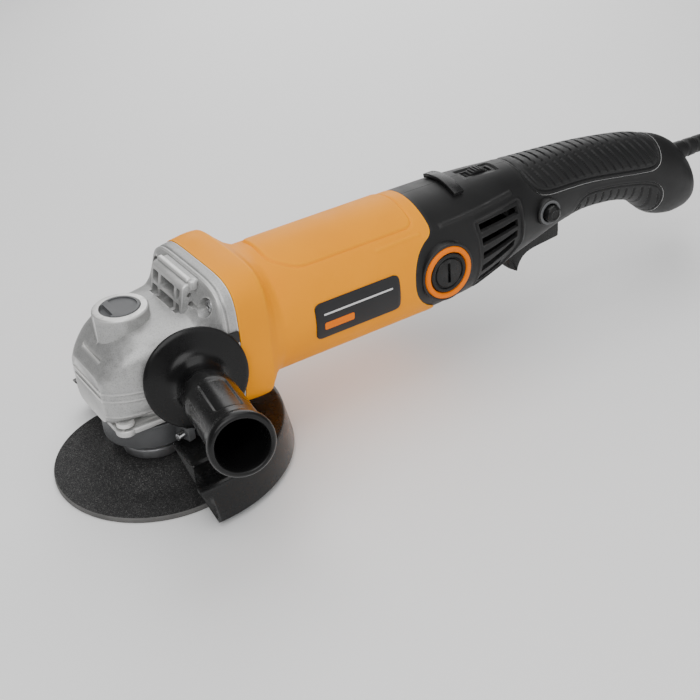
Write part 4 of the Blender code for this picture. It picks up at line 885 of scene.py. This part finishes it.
# ---------------------------------------------------------------- motor housing
MOTOR_SECTIONS = (
    (40.3, 41.3, 31.2, 108.9, 5.0), (52.0, 41.8, 30.8, 110.0, 5.0), (56.5, 41.6, 30.8, 110.0, 4.8),
    (60.0, 39.8, 30.6, 107.6, 3.6), (64.0, 38.0, 30.2, 105.2, 2.5), (70.0, BODY_RADIUS, 30.0, 104.0, 2.0),
    (175.0, BODY_RADIUS, 30.0, 104.0, 2.0),
)
MOTOR_CAVITY = (
    (38.0, 37.5, 35.0, 105.0, 5.0), (55.0, 37.5, 35.0, 105.5, 5.0), (61.0, 35.2, 34.2, 101.8, 3.0),
    (68.0, 34.2, 32.8, 101.2, 2.0), (178.0, 34.2, 32.8, 101.2, 2.0),
)
REAR_SECTIONS = (
    (147.0, BODY_RADIUS, 30.0, 104.0, 2.0), (200.0, 35.6, 32.6, 103.9, 2.0), (220.0, 32.8, 37.0, 103.2, 2.0),
    (240.0, 29.0, 42.2, 102.0, 2.0), (260.0, 25.0, 47.2, 100.4, 2.1), (280.0, 21.8, 52.0, 99.2, 2.2),
    (300.0, 20.2, 54.4, 97.8, 2.2), (320.0, 19.8, 52.8, 95.3, 2.2), (338.0, 19.8, 48.6, 92.4, 2.2),
    (348.0, 19.8, 43.5, 90.4, 2.2), (356.0, 19.8, 36.5, 88.2, 2.2), (363.0, 19.8, 31.0, 86.2, 2.2),
    (372.0, 19.5, 27.8, 83.0, 2.2), (381.0, 18.4, 26.2, 77.6, 2.2), (389.0, 16.4, 26.6, 69.5, 2.2),
    (396.0, 13.0, 28.8, 59.0, 2.2), (400.5, 8.5, 32.0, 49.0, 2.2), (402.5, 4.0, 35.5, 43.5, 2.0),
)
REAR_CAVITY = (
    (201.0, 32.2, 36.0, 100.5, 2.0), (220.0, 29.4, 40.4, 99.8, 2.0), (240.0, 25.4, 45.8, 98.4, 2.0),
    (262.0, 18.6, 53.4, 94.8, 2.0), (280.0, 16.4, 57.6, 93.6, 2.2), (300.0, 15.0, 59.6, 92.2, 2.2),
    (340.0, 14.6, 53.2, 86.4, 2.2), (354.0, 14.6, 44.4, 83.0, 2.2), (368.0, 14.2, 35.0, 78.4, 2.2),
    (390.0, 9.0, 34.0, 60.0, 2.2),
)
BODY_JOINT = rounded((
    (171.5, 125.0), (171.5, 103.0), (171.8, 92.0), (169.0, 89.0), (164.4, 87.2), (158.8, 83.0), (154.8, 76.0),
    (153.5, 67.0), (154.8, 59.6), (158.8, 53.0), (166.0, 46.0), (173.0, 42.0), (173.0, 15.0), (430.0, 15.0),
    (430.0, 125.0),
), (0, 3, 3, 3, 4, 4, 4, 4, 4, 4, 4, 3, 0, 0, 0), 5, True)
UPPER_PAD = rounded((
    (246.5, 120.0), (246.5, 99.0), (250.0, 89.5), (256.0, 84.8), (264.0, 82.6), (298.0, 79.2), (340.0, 71.8),
    (353.0, 69.8), (360.0, 73.0), (362.5, 82.0), (362.5, 120.0),
), (0, 4, 5, 4, 4, 8, 8, 5, 5, 4, 0), 4, True)
LOWER_PAD = rounded((
    (354.0, 20.0), (362.0, 40.0), (363.0, 50.0), (358.0, 59.5), (345.0, 65.0), (318.0, 71.0), (297.0, 73.6),
    (290.0, 71.0), (286.5, 64.0), (287.0, 20.0),
), (0, 6, 5, 6, 8, 8, 6, 4, 3, 0), 4, True)
PANEL = rounded(((74, -15), (88, -25.5), (163, -25.5), (163, 25.5), (88, 25.5), (74, 15)), 6.0, 4, True)
RAISED_MARK = ((134, 90.2), (164.5, 90.6), (164.5, 92.8), (134, 92.4))


def make_motor_housing():
    def relief(x, y, z):
        across = BODY_RADIUS * np.arctan2(y, z - BODY_HEIGHT)
        inside = outline_distance(x, across, PANEL)
        out = 0.55 * ramp(inside, 0.0, 0.9) - 0.5 * ridge(inside, -0.5, 0.55)
        mark = outline_distance(x, z, RAISED_MARK)
        out = out + np.where(np.abs(y) > 20, 0.5 * ramp(mark, 0.0, 0.7), 0.0)
        return out - 0.45 * ridge(z, 43.5, 0.55) * ramp(x, 76.0, 80.0) * (1 - ramp(x, 160.0, 163.0))

    stations = np.concatenate((np.linspace(40.3, 72, 44), np.linspace(72.8, 175, 128)))
    body = loft("motor_cover", MOTOR_SECTIONS, stations, YELLOW, 288, relief)
    cut(body, side_prism(BODY_JOINT, 100.0), solver=FAST)
    cut(body, loft("tool", MOTOR_CAVITY, np.linspace(38, 178, 60), None, 96), solver=FAST)
    for y, z in HEAD_SCREWS:
        join(body, rod(4.6, 40.7, 56.0, at(0, y, z) @ along_x(), 32), solver=FAST)
    for y, z in HEAD_SCREWS:
        cut(body, rod(2.2, 30.0, 53.5, at(0, y, z) @ along_x(), 20), solver=FAST)
    sharpen(body, 30.0)
    stand_for(body, "tool_body", "yellow_plastic", "motor_housing")
    curved_badge("nameplate", 88.0, 143.0, 11.0, 3.4, 0.0, 0.7, NAMEPLATE)
    curved_badge("nameplate_stripe", 93.0, 112.0, 2.2, 1.0, -3.2, 0.9, ORANGE)
    curved_badge("nameplate_bar", 93.0, 138.0, 0.5, 0.4, 4.0, 0.9, SILVER_LINE)


def curved_badge(name, start, end, half, corner, middle, height, finish):
    """A thin plate wrapped on the cylinder's near side; middle and half are lengths round it."""
    rows = 28
    columns = 24
    outside = []
    inside = []
    for r in range(rows + 1):
        v = -half + 2 * half * r / rows
        gap = max(0.0, abs(v) - (half - corner))
        trim = corner - sqrt(max(0.0, corner ** 2 - gap ** 2))
        for c in range(columns + 1):
            u = start + trim + (end - start - 2 * trim) * c / columns
            turn = (v + middle) / BODY_RADIUS
            for ring, radius in ((outside, BODY_RADIUS + height), (inside, BODY_RADIUS - 0.4)):
                ring.append((u, -radius * cos(turn), BODY_HEIGHT - 0.5 + radius * sin(turn)))
    n = columns + 1
    faces = []
    total = len(outside)
    for r in range(rows):
        for c in range(columns):
            a = r * n + c
            quad = (a, a + 1, a + n + 1, a + n)
            faces.append(quad)
            faces.append(tuple(total + i for i in quad))
    border = [c for c in range(n)] + [r * n + n - 1 for r in range(1, rows + 1)]
    border += [rows * n + c for c in range(n - 2, -1, -1)] + [r * n for r in range(rows - 1, 0, -1)]
    for i in range(len(border)):
        a, b = border[i], border[(i + 1) % len(border)]
        faces.append((a, b, total + b, total + a))
    badge = add_mesh(name, outside + inside, faces, finish, 40.0)
    soften(badge, 0.2, 50.0)
    sharpen(badge, 40.0)
    return stand_for(badge, "tool_body", "black_plastic" if finish is NAMEPLATE else "orange_plastic" if finish is ORANGE else "steel")


def make_brushes():
    for side, label in ((-1, "left"), (1, "right")):
        place = facing((BRUSH_X, 0, BODY_HEIGHT), (0, side, 0))
        corners = (
            (0, 29.0), (3.0, 29.0), (3.0, 24.2), (6.8, 24.2), (6.8, 31.8), (11.9, 31.8), (11.9, 38.4), (9.9, 38.4),
            (9.5, 37.5), (8.9, 37.5), (8.5, 38.4), (0, 38.4),
        )
        cap = lathe("brush_cover_" + label, rounded(corners, (0, 0, 0.3, 0.3, 0.3, 0.2, 0.8, 0.4, 0.2, 0.2, 0.4, 0), 3), GLOSS, place, 96)
        cut(cap, box_tool((-0.95, -6.2, 36.6), (0.95, 6.2, 45.0), place, 0.5), solver=FAST)
        sharpen(cap, 30.0)
        stand_for(cap, "tool_body", "black_plastic", "brush_cap_" + label)
        ring = ((12.4, 38.0), (13.4, 39.2), (14.8, 39.2), (15.9, 38.0), (15.9, 35.6), (12.4, 35.6))
        hoop = lathe("brush_hoop_" + label, rounded(ring, (0.6, 0.8, 0.8, 0.9, 0.1, 0.1), 4, True), ORANGE, place, 128)
        stand_for(hoop, "tool_body", "orange_plastic", "brush_ring_" + label)


# ---------------------------------------------------------------- rear housing
GRILLE = rounded(((201.6, 44.0), (200.6, 87.6), (237.8, 88.8), (237.0, 62.0), (223.0, 49.5)), 2.4, 4, True)
UPPER_BAR = ((178.0, 89.9), (234.5, 91.6), (234.5, 94.4), (178.0, 92.7))


def vent_outline(k):
    """One slot of the grille from the side, bending upwards towards the rear."""
    start = (47.2, 55.4, 64.4, 73.0, 80.9)[k]
    rise = (7.5, 7.6, 3.3, 1.1, 0.2)[k]
    reach = (221.5, 230.5, 232.8, 233.6, 235.0)[k]
    lower = []
    upper = []
    for i in range(9):
        x = 203.6 + (reach - 203.6) * i / 8
        t = (x - 203.6) / 29.0
        z = start + rise * (0.62 * t + 0.38 * t * t)
        lower.append((x, z))
        upper.append((x, z + 4.6))
    return rounded(lower + upper[::-1], [0.8 if i in (0, 8, 9, 17) else 0 for i in range(18)], 3, True)


def rear_relief(x, y, z):
    side = np.abs(y) > 12
    bar = outline_distance(x, z, UPPER_BAR)
    out = np.where(side, 0.9 * ramp(bar, -0.2, 1.0), 0.0)
    frame = outline_distance(x, z, GRILLE)
    out = out + np.where(side, 0.45 * ramp(frame, -1.5, -0.7) - 1.15 * ramp(frame, -0.1, 0.7), 0.0)
    for outline in (UPPER_PAD, LOWER_PAD):
        gap = outline_distance(x, z, outline)
        out = out + 0.15 * ramp(gap, -2.4, -0.8) * (1 - ramp(gap, -0.6, 0.4))
    well = np.maximum(np.abs(x - 225.0) - 12.5, np.abs(y) - 6.0)
    return out - np.where(z > 95, 1.2 * (1 - ramp(well, -0.8, 0.4)), 0.0)


def make_rear():
    stations = np.concatenate((np.arange(147.0, 175.0, 2.0), np.arange(175.0, 240.0, 0.7),
                               np.arange(240.0, 402.0, 1.6), [402.5]))
    screws = ((214.0, 46.0, 26.0, 21.0), (304.0, 72.0, 17.0, 14.0), (386.0, 44.0, 13.0, 11.0))
    for side, label in ((-1, "left"), (1, "right")):
        body = loft("rear_cover_" + label, REAR_SECTIONS, stations, SATIN, 288, rear_relief)
        half = sorted((0.15 * side, -120.0 * side))
        middle = ((100, half[0], -10), (450, half[1], 150))
        cut(body, box_tool(*middle), solver=FAST)
        combine(body, side_prism(BODY_JOINT, 100.0, 0.0, GAP), "INTERSECT", FAST)
        across = facing((BRUSH_X, 0, BODY_HEIGHT), (0, side, 0))
        join(body, rod(17.6, 20.0, 37.6, across, 96, 0.8), solver=FAST)
        lock_axis = facing((258.5, 0, 74.5), (0, -1, 0))
        if side < 0:
            join(body, rod(8.4, 16.0, 28.6, lock_axis, 64, 1.0), solver=FAST)
        cut(body, rod(34.2, 140.0, 190.0, along_x(BODY_HEIGHT), 96), solver=FAST)
        cut(body, loft("tool", REAR_CAVITY, np.linspace(201, 390, 50), None, 64), solver=FAST)
        guide = ((0, 36.0), (17.4, 36.0), (17.4, 29.4), (8.6, 29.4), (8.6, 13.6), (0, 13.6))
        join(body, lathe("tool", guide, None, across, 64), solver=FAST)
        for x, z, reach, head in screws:
            reach = reach if side > 0 or x > 220 else 19.0
            join(body, rod(4.2, 0.0, reach, facing((x, 0, z), (0, side, 0)), 24), solver=FAST)
        for low, high in (((244.5, 9.0, 50.5), (254.0, 15.0, 60.0)), ((245.0, 9.4, 66.0), (249.0, 22.4, 87.0)),
                          ((280.0, 9.4, 66.0), (284.0, 17.0, 88.0)), ((221.0, 5.0, 89.0), (229.0, 9.0, 99.4))):
            near = sorted((low[1] * side, high[1] * side))
            join(body, box_tool((low[0], near[0], low[2]), (high[0], near[1], high[2])), solver=FAST)
        room = ((0, 60), (16.2, 60), (16.2, 35.3), (12.2, 35.3), (12.2, 31.5), (7.1, 31.5), (7.1, 23.9), (0, 23.9))
        tools = [
            box_tool(*middle), rod(11.3, 180.0, 199.2, along_x(BODY_HEIGHT), 64), rod(8.0, 180.0, 220.0, along_x(BODY_HEIGHT)),
            lathe("tool", room, None, across, 96), box_tool((-2.8, -4.3, 5.0), (2.8, 4.3, 40.0), across),
            rod(2.8, -11.4, 11.4, facing((249.0, 0, 54.0), (0, 1, 0)), 24),
            box_tool((242.6, -8.5, 15.0), (285.0, 8.5, 63.0)), box_tool((215.2, -3.5, 82.0), (234.8, 3.5, 115.0), Matrix(), 0.8),
            rod(2.3, -8.0, 8.0, facing((225.0, 0, 93.0), (0, 1, 0)), 24), rod(6.5, 370.0, 430.0, along_x(65.5), 64),
        ]
        for x, z, reach, head in screws:
            way = facing((x, 0, z), (0, 1, 0))
            tools.append(rod(2.2, -9.0, 60.0, way, 20))
            if side > 0:
                tools.append(rod(4.1, head - 0.7, 60.0, way, 32))
        for k in range(5):
            tool = side_prism(vent_outline(k), 13.0)
            tool.data.transform(Matrix.Translation((0, 35.0 * side * MM, 0)))
            tools.append(tool)
        if side < 0:
            tools.append(rod(5.7, 5.0, 60.0, lock_axis, 48))
        cut(body, *tools, solver=FAST)
        for outline in (UPPER_PAD, LOWER_PAD):
            region = side_prism(outline, 60.0)
            cut(region, loft("tool", REAR_SECTIONS, np.arange(236.0, 402.0, 2.0), None, 128, None, 2.3), solver=FAST)
            cut(body, region, solver=FAST)
        sharpen(body, 30.0)
        stand_for(body, "tool_body", "satin_black_plastic", "rear_shell_" + label)
    rim = lathe("lock_on_rim", rounded(((5.9, 28.2), (7.6, 28.2), (7.6, 29.2), (5.9, 29.2)), 0.4, 3, True), GREY,
                facing((258.5, 0, 74.5), (0, -1, 0)), 64)
    stand_for(rim, "tool_body", "dark_grey_plastic")


def shrunk(outline, by):
    """The outline with its points moved inwards."""
    points = [Vector(p) for p in outline]
    result = []
    for i in range(len(points)):
        one = (points[i] - points[i - 1]).normalized()
        two = (points[(i + 1) % len(points)] - points[i]).normalized()
        inward = Vector((-one.y, one.x)) + Vector((-two.y, two.x))
        result.append(tuple(points[i] + inward * (by / max(0.5, (1 + one.dot(two)) / 2) / inward.length)))
    return result


def make_pads():
    def area(outline):
        points = list(zip(outline, outline[1:] + outline[:1]))
        return sum(a[0] * b[1] - b[0] * a[1] for a, b in points)

    def upper_relief(x, y, z):
        inside = outline_distance(x, z, UPPER_PAD)
        top = 101.0 - (x - 250.0) * 0.1
        wave = np.cos((x - 0.55 * (top - z) - 256.0) * 2 * pi / 6.2)
        ribs = -0.95 * ramp(wave, 0.62, 0.96) * ramp(inside, 4.2, 5.6)
        return ribs - 0.75 * ridge(inside, 2.6, 0.5) + 0.35 * ramp(inside, 4.0, 5.5)

    def lower_relief(x, y, z):
        inside = outline_distance(x, z, LOWER_PAD)
        wave = np.cos((x - 0.2 * (70.0 - z) - 303.0) * 2 * pi / 6.4)
        return -0.85 * ramp(wave, 0.66, 0.96) * ramp(inside, 3.0, 4.4) - 0.6 * ridge(inside, 1.8, 0.5)

    for name, node, outline, relief, start, end in (
            ("grip_insert_upper", "grip_pad_upper", UPPER_PAD, upper_relief, 242.0, 367.0),
            ("grip_insert_lower", "grip_pad_lower", LOWER_PAD, lower_relief, 282.0, 367.0)):
        pad = loft(name, REAR_SECTIONS, np.arange(start, end, 0.6), RUBBER, 320, relief)
        way = 1 if area(outline) > 0 else -1
        combine(pad, side_prism(shrunk(outline, GAP * way), 55.0), "INTERSECT", FAST)
        cut(pad, loft("tool", REAR_SECTIONS, np.arange(start - 6, end + 6, 2.0), None, 128, None, 2.0), solver=FAST)
        sharpen(pad, 38.0)
        stand_for(pad, "tool_body", "black_rubber", node)


def make_controls():
    outline = (
        (243.5, 42.0), (243.5, 33.0), (250.5, 28.5), (252.0, 34.0), (256.0, 38.5), (262.0, 40.6), (283.5, 42.5),
        (283.5, 57.0), (276.0, 60.0), (262.0, 60.0), (250.0, 58.0), (245.0, 54.0),
    )
    line = rounded(outline, (2, 1.5, 0.8, 3, 3, 4, 1.5, 1.5, 3, 3, 3, 2), 4, True)
    trigger = side_prism(line, 8.0, 1.0)
    trigger.name = "trigger_lever"
    join(trigger, rod(2.5, -11.0, 11.0, facing((249.0, 0, 54.0), (0, 1, 0)), 32, 0.3), solver=FAST)
    trigger.data.materials.clear()
    trigger.data.materials.append(GLOSS)
    sharpen(trigger, 30.0)
    stand_for(trigger, "trigger_group", "black_plastic", "trigger")
    corners = ((0, 12.8), (3.0, 12.8), (3.0, 20.0), (5.2, 20.0), (5.2, 31.2), (4.9, 32.6), (3.0, 33.6), (2.4, 33.1), (0, 33.1))
    knob = lathe("lock_on_knob", rounded(corners, (0, 0.3, 0.2, 0.3, 0.8, 0.6, 0.5, 0.3, 0), 4), GLOSS,
                 facing((258.5, 0, 74.5), (0, -1, 0)), 72)
    stand_for(knob, "lock_on", "black_plastic", "lock_on_button")
    teeth = []
    for k in range(32):
        for share, radius in ((0.0, 10.2), (0.22, 11.0), (0.55, 11.0), (0.78, 10.2)):
            angle = 2 * pi * (k + share) / 32
            teeth.append((radius * cos(angle), radius * sin(angle)))
    wheel = plate("dial_wheel", teeth, -3.0, 3.0, SATIN, facing((225.0, 0, 93.0), (0, 1, 0)), 0.4)
    join(wheel, rod(2.0, -7.6, 7.6, facing((225.0, 0, 93.0), (0, 1, 0)), 32, 0.3), solver=FAST)
    sharpen(wheel, 30.0)
    stand_for(wheel, "dial", "satin_black_plastic", "speed_dial")
    strap = rounded(((36.0, 196.5), (38.5, 196.5), (38.5, 203.5), (36.0, 203.5)), 0.7, 3, True)
    place = at(0, 0, 68.3) @ along_x()
    clip = lathe("seam_strap", strap, GLOSS, place, 120, (70.0, 117.0))
    stand_for(clip, "tool_body", "black_plastic", "seam_clip")
    boot = [(0, 340.0), (4.0, 340.0), (4.0, 371.0), (7.4, 371.0), (7.4, 374.5), (6.2, 374.5), (6.2, 392.0)]
    for k in range(4):
        x = 396.0 + 9.0 * k
        radius = 6.1 - 0.28 * k
        boot += [(radius, x), (radius - 0.7, x + 1.0), (radius - 0.7, x + 2.4), (radius - 0.1, x + 3.4)]
    boot += [(4.9, 431.4), (4.5, 432.0), (0, 432.0)]
    sleeve = lathe("cord_boot", rounded(boot, [0] + [0.5] * (len(boot) - 2) + [0], 3), CORD_SKIN, along_x(65.5), 64)
    stand_for(sleeve, "tool_body", "black_rubber", "strain_relief")


# ---------------------------------------------------------------- camera, light and floor
def make_stage():
    look = Vector((0.431, 0.730, -0.531)).normalized()
    up = Vector((0.340, 0.414, 0.845))
    right = look.cross(up).normalized()
    up = right.cross(look)
    data = bpy.data.cameras.new("camera")
    data.sensor_width = 36.0
    data.lens = 66.7
    data.clip_start = 0.01
    camera = bpy.data.objects.new("camera", data)
    bpy.context.scene.collection.objects.link(camera)
    turn = Matrix((right, up, -look)).transposed().to_4x4()
    camera.matrix_world = Matrix.Translation(BASE + Vector((-202.36, -561.96, 424.14)) * MM) @ turn
    bpy.context.scene.camera = camera
    world = bpy.data.worlds.new("studio")
    bpy.context.scene.world = world
    world.use_nodes = True
    sky = world.node_tree.nodes["Background"]
    sky.inputs["Color"].default_value = (1.0, 1.0, 1.0, 1.0)
    sky.inputs["Strength"].default_value = 0.16
    lamps = (
        ("key", (-500, -700, 900), (0, 0, 40), 0.9, 9.5),
        ("fill", (500, -900, 500), (200, 0, 50), 1.2, 4.5),
        ("top", (150, 150, 1100), (150, 0, 40), 1.1, 8.5),
        ("rim", (600, 700, 500), (100, 0, 60), 0.8, 5.0),
    )
    for name, spot, target, size, power in lamps:
        lamp = bpy.data.lights.new(name, "AREA")
        lamp.shape = "SQUARE"
        lamp.size = size
        lamp.energy = power
        light = bpy.data.objects.new(name, lamp)
        bpy.context.scene.collection.objects.link(light)
        place = BASE + Vector(spot) * MM
        aim = BASE + Vector(target) * MM
        light.matrix_world = Matrix.Translation(place) @ (place - aim).to_track_quat("Z", "Y").to_matrix().to_4x4()
    ground = bpy.data.meshes.new("studio_floor")
    z = cad_box[0].z - 0.0002
    ground.from_pydata([(-6, -6, z), (6, -6, z), (6, 6, z), (-6, 6, z)], [], [(0, 1, 2, 3)])
    floor = bpy.data.objects.new("studio_floor", ground)
    bpy.context.scene.collection.objects.link(floor)
    shade, tree, surface = nodes_of("studio_floor")
    where = tree.nodes.new("ShaderNodeTexCoord").outputs["Object"]
    cloud = texture(tree, "ShaderNodeTexNoise", 3.0, where, Detail=3.0).outputs["Fac"]
    tree.links.new(mixed(tree, cloud, (0.90, 0.90, 0.90), (0.93, 0.93, 0.93)), surface.inputs["Base Color"])
    surface.inputs["Roughness"].default_value = 0.7
    ground.materials.append(shade)


# ---------------------------------------------------------------- cord
CORD_RADIUS = 4.0
CORD_HEIGHT = 65.5
BOOT_END = 432.0
COIL_CENTRE = (575.0, -10.0)
TURN_RADII = (60.0, 52.0, 44.0, 36.0)
STEPS_IN = (230, 590, 950)
CLIMB = 1250
STEPS_OUT = (1550, 1910, 2270)
STEP_SPAN = 120
LAST_TURN = 2520


def coil_point(turn):
    """A point on the coil: turn is in degrees from where the cord enters it."""
    low = -3.0 + CORD_RADIUS + 0.3
    high = low + 2 * CORD_RADIUS
    radius = TURN_RADII[0]
    for steps, way in ((STEPS_IN, -8.0), (STEPS_OUT, 8.0)):
        for mark in steps:
            t = min(1.0, max(0.0, (turn - mark) / STEP_SPAN))
            radius += way * t * t * (3 - 2 * t)
    t = min(1.0, max(0.0, (turn - CLIMB) / STEP_SPAN))
    height = low + (high - low) * t * t * (3 - 2 * t)
    angle = radians(turn - 90.0)
    return Vector((COIL_CENTRE[0] + radius * cos(angle), COIL_CENTRE[1] + radius * sin(angle), height))


def hermite(a, pull_a, b, pull_b, count):
    result = []
    for i in range(count):
        t = i / (count - 1)
        result.append(a * (2 * t ** 3 - 3 * t ** 2 + 1) + pull_a * (t ** 3 - 2 * t ** 2 + t)
                      + b * (3 * t ** 2 - 2 * t ** 3) + pull_b * (t ** 3 - t ** 2))
    return result


def make_cord():
    start = Vector((BOOT_END + 0.3, 0, CORD_HEIGHT))
    plug_low, plug_high = box_mm("plug")
    plug_end = Vector((plug_low.x, (plug_low.y + plug_high.y) / 2, 10.4))
    points = hermite(start, Vector((200, 0, 0)), coil_point(0), Vector((200, 0, 0)), 26)[:-1]
    count = int(LAST_TURN / 12)
    points += [coil_point(LAST_TURN * k / count) for k in range(count)]
    points += hermite(coil_point(LAST_TURN), Vector((32, 0, 0)), plug_end, Vector((32, 0, 0)), 6)
    curve = bpy.data.curves.new("mains_cord", "CURVE")
    curve.dimensions = "3D"
    line = curve.splines.new("POLY")
    line.points.add(len(points) - 1)
    for spot, point in zip(line.points, points):
        spot.co = (*(BASE + point * MM), 1.0)
    line.use_smooth = True
    curve.bevel_depth = CORD_RADIUS * MM
    curve.bevel_resolution = 6
    curve.use_fill_caps = True
    curve.materials.append(CORD_SKIN)
    cord = bpy.data.objects.new("mains_cord", curve)
    bpy.context.scene.collection.objects.link(cord)
    stand_for(cord, "tool_body", "black_rubber", "cord", "cord_coil")
    plug = make_plug(plug_low, plug_high)
    tie = make_tie()


def make_plug(low, high):
    """Moulded two-pin plug: ribbed neck, waisted grip, shouldered face and round pins."""
    x = low.x
    y = (low.y + high.y) / 2
    z = 10.4
    sections = (
        (x, 4.6, z - 4.6, z + 4.6, 2.0), (x + 20, 5.8, z - 5.8, z + 5.8, 2.0), (x + 26, 8.6, z - 7.4, z + 7.4, 2.2),
        (x + 32, 13.6, z - 10.4, z + 10.4, 2.5), (x + 40, 17.0, z - 12.4, z + 12.4, 2.8),
        (x + 52, 16.2, z - 12.0, z + 12.0, 3.0), (x + 59, 18.0, z - 13.0, z + 13.0, 3.2), (x + 62.8, 18.2, z - 13.1, z + 13.1, 3.2),
        (x + 64, 17.2, z - 12.2, z + 12.2, 3.2),
    )
    moved = [(a, w, lo, hi, p) for a, w, lo, hi, p in sections]

    def relief(px, py, pz):
        neck = (px > x + 2) & (px < x + 21)
        ribs = np.where(neck, -0.7 * ramp(np.cos((px - x) * 2 * pi / 4.0), 0.2, 0.7), 0.0)
        side = (np.abs(py) > 11) & (px > x + 41) & (px < x + 56)
        return ribs + np.where(side, -0.5 * ramp(np.cos((px - x) * 2 * pi / 3.0), 0.0, 0.6), 0.0)

    body = loft("mains_plug", moved, np.linspace(x, x + 64, 110), CORD_SKIN, 56, relief)
    body.data.transform(Matrix.Translation((0, y * MM - 0.0, 0)))
    body.data.transform(Matrix.Translation((0, 0, 0)))
    stand_for(body, "tool_body", "black_rubber", "plug")
    for side in (-1, 1):
        profile = rounded(((0, 63), (2.4, 63), (2.4, 83), (0, 83)), (0, 0, 1.6, 0))
        pin = lathe("plug_pin_%s" % ("near" if side < 0 else "far"), profile, BRASS,
                    Matrix.Translation((x, y + 9.5 * side, z)) @ along_x(), 32)
        pin.parent = body
    return body


def make_tie():
    """A strap tie round the coil's section on its far side."""
    angle = radians(60.0)
    centre = Vector((COIL_CENTRE[0] + 48 * cos(angle), COIL_CENTRE[1] + 48 * sin(angle), 5.3))
    out = Vector((cos(angle), sin(angle), 0))
    around = []
    for k in range(40):
        t = 2 * pi * k / 40
        c = cos(t)
        s = sin(t)
        around.append((np.sign(c) * abs(c) ** 0.36 * 16.8, np.sign(s) * abs(s) ** 0.42 * 7.8))
    verts = []
    along = Vector((-sin(angle), cos(angle), 0))
    for width, grow in ((-4.0, 0.0), (-4.0, 0.9), (4.0, 0.9), (4.0, 0.0)):
        for a, b in around:
            scale = 1 + grow / 16.8
            verts.append(centre + out * (a * scale) + Vector((0, 0, b * scale)) + along * width)
    faces = []
    for k in range(4):
        for i in range(40):
            j = (i + 1) % 40
            m = (k + 1) % 4
            faces.append((k * 40 + i, k * 40 + j, m * 40 + j, m * 40 + i))
    tie = add_mesh("cord_tie", [tuple(v) for v in verts], faces, CORD_SKIN)
    return stand_for(tie, "tool_body", "black_rubber")


make_head()
make_screws()
make_guard()
make_wheel()
make_handle()
make_motor_housing()
make_brushes()
make_rear()
make_pads()
make_controls()
make_stage()
make_cord()
